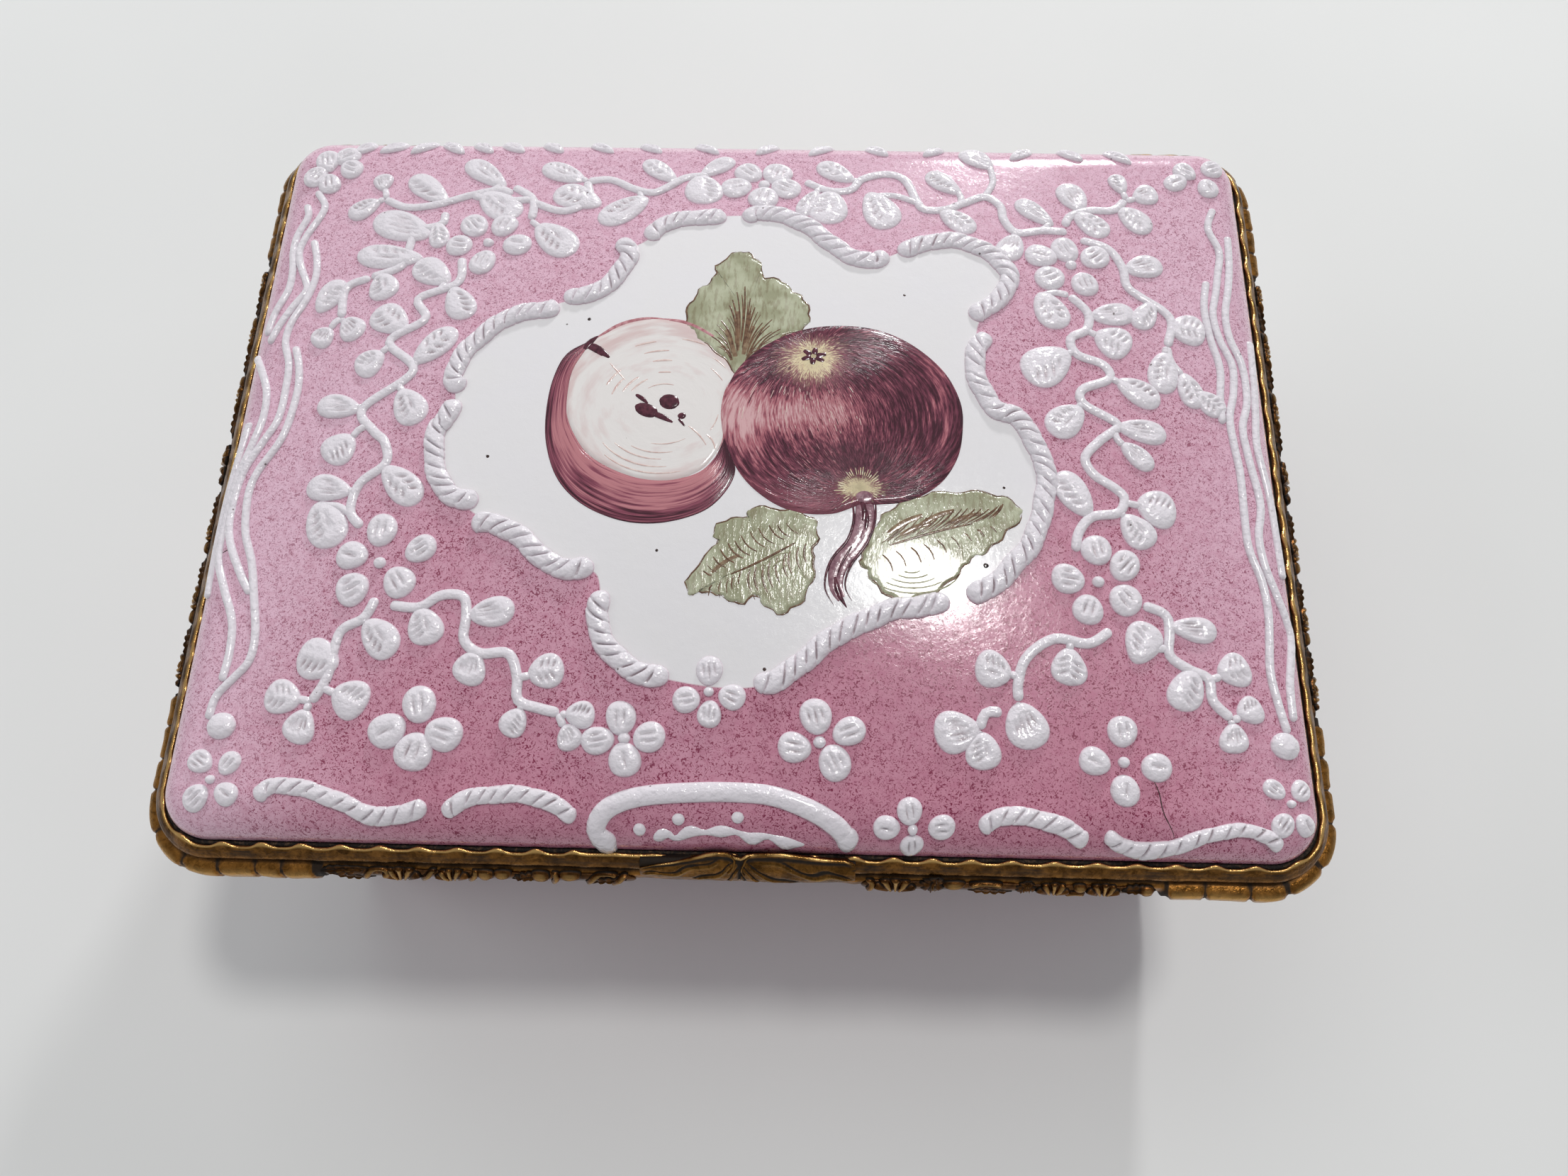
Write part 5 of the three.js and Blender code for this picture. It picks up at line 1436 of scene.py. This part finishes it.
def buildFrontSprays():
    up = math.pi / 2
    left = [
        castGround(-31.0, -7.4, 51),
        cast("leaf", -30.8, 0.3, (3.0, 1.5), 0.1), cast("leaf", -30.0, -0.2, (2.4, 1.4), -0.3),
        scroll([(-27.6, -0.5), (-27.0, 0.5), (-26.2, 0.9), (-25.7, 0.3), (-26.2, -0.1)]),
        cast("shell", -24.8, -0.9, (1.35, 2.0), 0.0, 0.42), cast("shell", -21.0, -0.8, (1.2, 1.7), 0.1, 0.38),
        scroll([(-23.4, -0.7), (-22.7, 0.2), (-22.2, 1.0)]),
        scroll([(-19.8, -0.6), (-19.2, 0.4), (-19.3, 1.0)]),
        cast("bead", -18.5, 0.4, (1.0, 1.3), 0.3), cast("bead", -17.2, 0.5, (1.1, 1.2), 0.0),
        cast("leaf", -16.6, -0.3, (2.1, 1.4), 0.25), cast("bead", -14.4, 0.4, (1.2, 1.3), 0.0),
        cast("bead", -12.2, 0.5, (1.5, 1.1), 0.2), scroll([(-13.6, -0.8), (-13.2, 0.2), (-13.4, 1.0)]),
        scroll([(-11.0, -0.7), (-10.4, 0.3), (-9.5, 0.9), (-8.7, 0.5)], 0.26),
        cast("leaf", -11.2, -0.6, (2.6, 1.3), 0.2),
        scroll([(-9.2, -0.8), (-8.6, 0.0), (-8.0, 0.8)]),
    ]
    right = [
        castGround(9.3, 31.0, 61),
        cast("shell", 11.8, -0.8, (1.5, 1.9), 0.0, 0.42), scroll([(9.8, -0.6), (10.1, 0.4), (9.7, 1.0)]),
        cast("leaf", 14.3, -0.9, (2.5, 2.0), up - 0.2, 0.46), cast("bead", 16.1, 0.5, (1.4, 1.0), 0.0),
        scroll([(17.2, 0.4), (18.4, 0.75), (19.7, 0.5)], 0.28), cast("leaf", 17.2, -0.5, (2.6, 1.4), -0.05),
        cast("leaf", 20.9, -0.7, (1.8, 1.2), 1.2), cast("leaf", 21.8, -0.7, (1.8, 1.2), 1.8),
        cast("shell", 23.4, -0.8, (1.2, 1.7), 0.0, 0.38), cast("bead", 25.3, 0.5, (0.9, 0.9), 0.0),
        cast("shell", 27.1, -0.8, (1.2, 1.8), 0.0, 0.38), scroll([(24.4, -0.8), (25.0, -0.2), (25.8, -0.6)]),
        cast("leaf", 28.4, 0.1, (2.2, 1.5), 0.1), cast("bead", 30.2, 0.3, (0.9, 1.0), 0.0),
    ]
    castSet(left, "frontCastSprayLeft", "front_spray_left")
    castSet(right, "frontCastSprayRight", "front_spray_right")


def buildSideSprays():
    # The side castings repeat shell, scroll, leaf and bead along the run, mirrored about its middle
    for name, node, start in (("sideCastSprayRight", "side_spray_right", legEnds[2] + 28.0),
                              ("sideCastSprayLeft", "side_spray_left", legEnds[6] + 28.0)):
        pieces = [castGround(start - 20.2, start + 20.2, 71),
                  cast("shell", start, -0.9, (1.8, 2.0), 0.0, 0.42)]
        for side in (-1, 1):
            for k, at in enumerate((3.4, 9.4, 15.2)):
                s = start + side * at
                turn = 0.2 if side > 0 else math.pi - 0.2
                pieces.append(cast("leaf", s - side * 0.9, -0.1, (2.7, 1.7), turn))
                curl = [(1.4, -0.8), (2.0, 0.3), (2.7, 0.9), (3.2, 0.3)]
                pieces.append(scroll([(s + side * along, girth) for along, girth in curl], 0.22))
                pieces.append(cast("shell", s + side * 3.2, -0.8, (1.1, 1.6), 0.1 * side, 0.36))
                if k < 2:
                    pieces.append(cast("bead", s + side * 4.4, 0.5, (1.0, 1.0), 0.0))
        castSet(pieces, name, node)


thumbForm = {
    "left": -6.9, "right": 8.8, "hub": 0.5, "behind": 1.75, "foot": 1.32,
    "top": [(-6.9, 34.1), (-5.6, 34.24), (-4.4, 34.34), (-3.2, 34.56), (-2.2, 34.84), (-1.2, 35.05),
            (-0.5, 35.0), (0.0, 34.74), (0.35, 34.58), (0.8, 34.8), (1.4, 34.8), (2.2, 34.95), (3.4, 35.05),
            (5, 34.86), (6.6, 34.6), (8.1, 34.5), (8.8, 34.3)],
    "lip": [(-6.9, 1.35), (-6.0, 1.1), (-4.6, 0.9), (-3.2, 0.62), (-2.0, 0.32), (-1.2, 0.2), (-0.5, 0.26),
            (0.1, 0.48), (0.5, 0.54), (0.9, 0.34), (1.5, 0.24), (2.6, 0.2), (3.6, 0.22), (5.0, 0.36),
            (6.5, 0.48), (8.0, 0.52), (8.8, 0.8)],
    "reach": [(-6.9, 1.7), (-5.5, 1.8), (-3, 1.88), (-1, 1.95), (0.35, 1.92), (1.6, 1.97), (4, 1.98),
              (6.6, 1.92), (8.2, 1.85), (8.8, 1.75)],
    "low": [(-6.9, 32.95), (-4, 32.7), (0, 32.5), (4, 32.5), (8.8, 32.95)],
}


def thumbLine(key, x):
    return np.interp(x, *np.array(thumbForm[key]).T)


def onThumb(x, q):
    # Front of the thumb piece: x along it, q from its lower edge (0) over the face to the back of its lip (1)
    top, lip, reach, low = (thumbLine(key, x) for key in ("top", "lip", "reach", "low"))
    girths = [0, 0.08, 0.25, 0.5, 0.68, 0.78, 0.87, 0.94, 1]
    bow = np.interp(q, girths, [0.95, 1.0, 0.93, 0.68, 0.4, 0.22, 0.06, -0.06, -0.1])
    rise = np.interp(q, girths, [0.0, 0.03, 0.24, 0.54, 0.74, 0.86, 0.98, 0.98, 0.84])
    far = x - thumbForm["hub"]
    # Ribs spread from the hub, down and outwards to both sides
    fan = np.arctan2((1.02 - q) * 2.0, (np.abs(far) + 0.3) ** 0.7)
    swing = 10 * fan + 0.5 * np.sin(far * 1.9 + q * 4)
    face = smoothStep(0.03, 0.14, q) * (1 - smoothStep(0.66, 0.78, q))
    grooves = np.exp(-(np.sin(swing) / 0.3) ** 2) * face
    crests = np.exp(-(np.sin(swing - 0.6) / 0.28) ** 2) * face
    roll = np.exp(-((q - 0.89) / 0.06) ** 2)
    underRoll = np.exp(-((q - 0.77) / 0.05) ** 2)
    edge = smoothStep(0, 0.7, x - thumbForm["left"]) * smoothStep(0, 0.7, thumbForm["right"] - x)
    cleft = np.exp(-((far + 0.1) / 0.22) ** 2)
    outward = 0.08 * crests - 0.13 * grooves + 0.1 * roll - 0.07 * underRoll
    d = lip + (reach - lip) * bow + outward * edge - 0.12 * cleft * bow
    z = low + (top - low) * rise + (0.05 * crests - 0.06 * grooves - 0.05 * underRoll) * edge
    # A painted highlight along the lip's roll, stronger in places; crests beside the grooves carry painted
    # highlights, and the grooves, the hollow under the roll and the cleft painted shade
    bright = (0.62 + 0.26 * np.sin(x * 2.3)) * roll
    wearAndLight = (0.4 * crests - 0.6 * grooves + 0.06 * face + bright - 0.45 * underRoll) * edge
    return np.maximum(d, 0.16), z, wearAndLight - 0.5 * cleft * (1 - roll)


def buildThumb():
    x = np.linspace(thumbForm["left"], thumbForm["right"], 220)[:, None]
    q = np.linspace(0, 1, 29)[None]
    d, z, wearAndLight = onThumb(x + 0 * q, q + 0 * x)
    top, low, one = thumbLine("top", x), thumbLine("low", x), np.ones_like(x)
    foot = thumbForm["foot"]
    behind = [(0.3, np.minimum(top - 0.3, 34.3)), (0.72, 34.26 * one), (1.2, 33.95 * one), (foot, 33.6 * one),
              (foot, 33.08 * one), (thumbForm["behind"] - 0.2, low + 0.08)]
    d = np.hstack([d] + [back * one for back, height in behind])
    z = np.hstack([z] + [height for back, height in behind])
    # The back of the thumb piece is darker: patina with painted shade
    wearAndLight = np.hstack([wearAndLight, np.full((len(x), len(behind)), -0.4)])
    points, wearAndLight = withEnds(np.stack([x + 0 * d, -plan["halfY"] - d, z], axis=-1), wearAndLight)
    pieces = [wrapped("thumbShell", closed(points), {"wearAndLight": closed(wearAndLight)})]

    def onShell(x, q, rise):
        d, z = onThumb(x, np.clip(q / 3, 0, 1))[:2]
        return np.stack([x, -plan["halfY"] - d - rise * 0.8, z + rise * 0.6], axis=-1)

    # Small curls cast beside the cleft; q is stretched to 3 so that their width is even
    curls = [[(-0.5, 1.2), (-0.1, 1.8), (0.0, 2.4), (-0.3, 2.8)],
             [(0.7, 1.0), (0.5, 1.6), (0.8, 2.3), (1.2, 2.7)]]
    for curl in curls:
        pieces.append(ridge("curl", curl, onShell, 0.1, 0.1, sink=0.08, step=0.2, sides=7))
        wearByHeight(pieces[-1], 0.7, 1.2)
    return gilded(joined(pieces, "thumbPiece"), "giltThumb", "lid", "thumb_piece")


buildLidBezel()
buildCement()
buildGirdle()
buildFrontSprays()
buildSideSprays()
buildThumb()
print("mounts done")


def trimmed(node, name, material, body, slotName, bevel=0.05):
    # A smooth copy of a plain metal part, with its sharp edges broken
    piece = bpy.data.objects.new(name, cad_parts[node].data.copy())
    bpy.context.collection.objects.link(piece)
    bpy.ops.object.select_all(action="DESELECT")
    piece.select_set(True)
    bpy.context.view_layer.objects.active = piece
    bpy.ops.object.mode_set(mode="EDIT")
    bpy.ops.mesh.select_all(action="SELECT")
    bpy.ops.mesh.remove_doubles(threshold=2e-6)
    bpy.ops.mesh.dissolve_limited(angle_limit=math.radians(1))
    bpy.ops.mesh.normals_make_consistent(inside=False)
    bpy.ops.object.mode_set(mode="OBJECT")
    softened = piece.modifiers.new("softened", "BEVEL")
    softened.width = bevel * mm
    softened.segments = 2
    softened.limit_method = "ANGLE"
    softened.angle_limit = math.radians(35)
    bpy.ops.object.modifier_apply(modifier="softened")
    bpy.ops.object.shade_smooth_by_angle(angle=math.radians(30))
    return dressed(piece, material, body, slotName, node)


def buildHinge():
    for node, name, paint, slotName, bevel in (
        ("base_bezel", "baseMountSkirt", "giltBand", "gilt_metal", 0.04),
        ("base_lip", "baseSeatingLip", "giltBand", "gilt_metal", 0.04),
        ("base_cement", "baseCementLine", "cement", "dark_cement", 0.02),
    ):
        trimmed(node, name, paints[paint], "base", slotName, bevel)
    for k in (1, 2, 3):
        trimmed(f"base_knuckle_{k}", f"hingeBaseKnuckle{k}", paints["giltBand"], "base", "gilt_metal", 0.06)
    for k in (1, 2):
        trimmed(f"lid_knuckle_{k}", f"hingeLidKnuckle{k}", paints["giltBand"], "lid", "gilt_metal", 0.06)
    for side in ("left", "right"):
        name = f"hingePlug{side.capitalize()}"
        trimmed(f"pin_plug_{side}", name, paints["giltBand"], "base", "gilt_metal", 0.05)
    trimmed("hinge_pin", "hingePin", paints["steel"], "base", "pin_steel", 0.03)


buildHinge()
print("hinge done")


# Base: the enamelled body and its raised work
def buildBase():
    s = ringStations(48, 36, 12)
    turn = np.linspace(0, np.pi / 2, 9)
    radius, wall = baseForm["bottomRadius"], baseForm["wall"]
    walls = np.linspace(radius, baseForm["leanFrom"], 14)[1:]
    edge = float(wallOffset(np.array(radius)))
    outer = [(edge - radius * (1 - math.sin(t)), radius * (1 - math.cos(t))) for t in turn]
    outer += [(float(wallOffset(z)), z) for z in walls] + [(-baseForm["inset"], baseForm["rim"])]
    hollow = radius - wall
    inner = [(edge - wall - hollow * (1 - math.sin(t)), radius - hollow * math.cos(t)) for t in turn]
    inner += [(float(wallOffset(z)) - wall, z) for z in walls]
    inner.append((-baseForm["inset"] - wall, baseForm["rim"]))
    shares = (0, 0.3, 0.6, 0.85)

    def level(offset, z, share=1.0):
        x, y = around(s, offset + 0 * s)[:2]
        return np.stack([x * share, y * share, np.full_like(x, z)], axis=-1)

    rows = [level(*outer[0], share) for share in shares] + [level(*place) for place in outer]
    rows += [level(*place) for place in inner[::-1]] + [level(*inner[0], share) for share in shares[::-1]]
    lining = np.array([0] * (len(shares) + len(outer)) + [1] * (len(shares) + len(inner)))[:, None]
    points = np.stack(rows)
    marks = {"reserve": np.full(points.shape[:2], -5.0), "lining": lining + 0 * points[..., 0]}
    body = wrapped("baseEnamelBody", closed(points), {k: closed(v) for k, v in marks.items()})
    return painted(body, "baseGround", "base", "base_shell")


def garland(start, length, pieces):
    # One side of the base: a waving vine with leaves, flowers between, rope above and below
    count = max(2, round(length / 19))
    span = length / count
    half = length / 2 - 1.2
    middle, swing = 16.6, 3.6
    turn = 2 * math.pi / span
    s = np.linspace(-half, half, count * 6)
    vine = list(zip(start + s, middle + swing * np.cos((s + length / 2) * turn)))
    pieces.append(ridge("wallVine", vine, onWall, relief["vineHalf"], relief["vineHigh"], sides=7))
    for k in range(count * 5):
        at = -half + (k + 0.5) / (count * 5) * 2 * half
        z = middle + swing * math.cos((at + length / 2) * turn)
        side = 1 if k % 2 else -1
        angle = math.atan(-swing * math.sin((at + length / 2) * turn) * turn) + side * 1.05
        centre = (start + at + 2.0 * math.cos(angle), z + 2.0 * math.sin(angle))
        pattern = pads["leafRight" if k % 3 else "leafBoth"]
        pieces.append(laid(pattern, onWall, centre, (3.4, 2.4), angle, high=relief["leafHigh"], taper=0.22))
    for k in range(2 * count + 1):
        at = -length / 2 + k * span / 2
        if abs(at) > half - 3.0:
            continue
        z = middle - 4.2 * math.cos((at + length / 2) * turn)
        pieces.append(laid(pads["plain"], onWall, (start + at, z), (0.95, 0.95), high=0.42))
        for away in np.radians([90, 162, 234, 306, 18]):
            place = (start + at + 1.8 * math.cos(away), z + 1.8 * math.sin(away))
            pieces.append(laid(pads["two"], onWall, place, (2.3, 2.1), away, high=relief["petalHigh"],
                               taper=0.1))
    places = np.linspace(-half, half, max(8, int(length / 4)))
    for z, wide in ((26.9, 0.58), (6.4, 0.6)):
        line = [(start + at, z + 0.35 * math.sin(at * 0.9)) for at in places]
        pieces.append(ridge("wallRope", line, onWall, wide, 0.42, slits=1.3, slant=0.9, sides=9))


def buildWallRelief():
    sides = {"Front": (0, 77.8), "Right": (legEnds[2] + 28, 56.0), "Back": (roundLength / 2, 77.8),
             "Left": (legEnds[6] + 28, 56.0)}
    for name, (start, length) in sides.items():
        pieces = []
        garland(start, length, pieces)
        painted(joined(pieces, f"wallGarland{name}"), "raised", "base")
    pieces = []
    for leg in (1, 3, 5, 7):
        middle = (legEnds[leg] + legEnds[leg + 1]) / 2
        for k in (-1, 0, 1):
            z = np.linspace(7.0 + abs(k), 26.0 - abs(k), 12)
            sway = 0.5 * np.sin(z * 0.55 + k)
            line = list(zip(middle + k * 1.3 + sway, z))
            pieces.append(ridge("wallStrand", line, onWall, 0.34, 0.32, sides=7))
    painted(joined(pieces, "wallCornerStrands"), "raised", "base")


buildBase()
buildWallRelief()
print("base done")


# Small damage on the lid
def buildWear():
    cracks = [(0.05, [(29.6, -25.6), (30.3, -27.0), (30.6, -28.6), (31.3, -30.0), (31.5, -31.2)]),
              (0.05, [(-42.2, -9.4), (-41.2, -9.9), (-40.2, -9.6), (-39.2, -10.1)]),
              (0.26, [(18.0, -10.9), (18.5, -10.85)]), (0.06, [(30.0, -25.0), (30.7, -25.3), (30.9, -25.9)])]
    strokes("hairCracks", "stain", cracks, 0.03)
    spots = [(-13.2, 9.9, 0.16), (1.9, -19.2, 0.14), (-3.8, 4.6, 0.12), (-9.3, -1.2, 0.12),
             (12.4, 12.8, 0.12), (-20.1, -2.6, 0.14), (19.8, -4.5, 0.12), (-6.4, -10.4, 0.12),
             (-27.2, 23.2, 0.2), (-41.9, -9.2, 0.3)]
    pieces = [laid(pads["plain"], onLid, (x, y), (2 * r, 2 * r), high=0.03, sink=0.02) for x, y, r in spots]
    painted(joined(pieces, "darkPits"), "stain")


buildWear()
for pattern in list(pads.values()) + list(castings.values()):
    bpy.data.objects.remove(pattern)


# Stage: floor, lamps, camera
def buildStage():
    bpy.ops.object.select_all(action="DESELECT")
    bpy.ops.mesh.primitive_grid_add(x_subdivisions=8, y_subdivisions=8, size=6)
    floor = bpy.context.object
    floor.name = "floor"
    paint = Paint("paleFloor")
    mottle = paint.noise(paint.spot(), 0.02, 2)
    color = paint.mix(mottle, shade(222, 222, 220), shade(230, 230, 228))
    floor.data.materials.append(paint.done(color=color, rough=0.85))
    world = bpy.data.worlds.new("softRoom")
    bpy.context.scene.world = world
    world.use_nodes = True
    back = world.node_tree.nodes["Background"]
    back.inputs["Color"].default_value = (0.93, 0.96, 1.0, 1)
    back.inputs["Strength"].default_value = 0.35


def lamp(name, place, target, size, power, warmth=(1, 1, 1)):
    data = bpy.data.lights.new(name, "AREA")
    data.shape = "DISK"
    data.size = size * mm
    data.energy = power
    data.color = warmth
    holder = bpy.data.objects.new(name, data)
    bpy.context.collection.objects.link(holder)
    holder.location = Vector(place) * mm
    holder.rotation_euler = (Vector(target) - Vector(place)).to_track_quat("-Z", "Y").to_euler()
    return holder


def buildLights():
    lamp("windowLamp", (140, 112, 640), (8, -5, 30), 90, 1.25, (1.0, 0.99, 0.97))
    lamp("glintLamp", (150, 620, 260), (0, 0, 36), 60, 2.0, (0.98, 0.99, 1.0))
    for name, place, size, power, warmth in (
        ("overheadLamp", (-160, 330, 560), 420, 0.62, (0.97, 0.99, 1.0)),
        ("leftLamp", (-520, 60, 380), 300, 0.5, (0.96, 0.98, 1.0)),
        ("frontLamp", (200, -620, 300), 320, 0.15, (1.0, 0.97, 0.94)),
    ):
        lamp(name, place, (0, 0, 20), size, power, warmth).visible_glossy = False


def buildCamera():
    # As the photograph was taken, from a fit to the mount's outline
    right, down = Vector((0.99964, 0.02478, -0.01012)), Vector((0.01954, -0.93402, -0.35668))
    forward = Vector((-0.01829, 0.35635, -0.93417))
    data = bpy.data.cameras.new("photoCamera")
    data.lens = 27.03
    data.sensor_width = 36
    data.sensor_fit = "HORIZONTAL"
    data.clip_start = 0.005
    data.clip_end = 20
    camera = bpy.data.objects.new("photoCamera", data)
    bpy.context.collection.objects.link(camera)
    pose = Matrix((right, -down, -forward)).transposed().to_4x4()
    pose.translation = Vector((4.776, -44.164, 121.10)) * mm
    camera.matrix_world = pose
    bpy.context.scene.camera = camera


buildStage()
buildLights()
buildCamera()
bpy.context.scene.view_settings.view_transform = "Standard"
print("stage done")
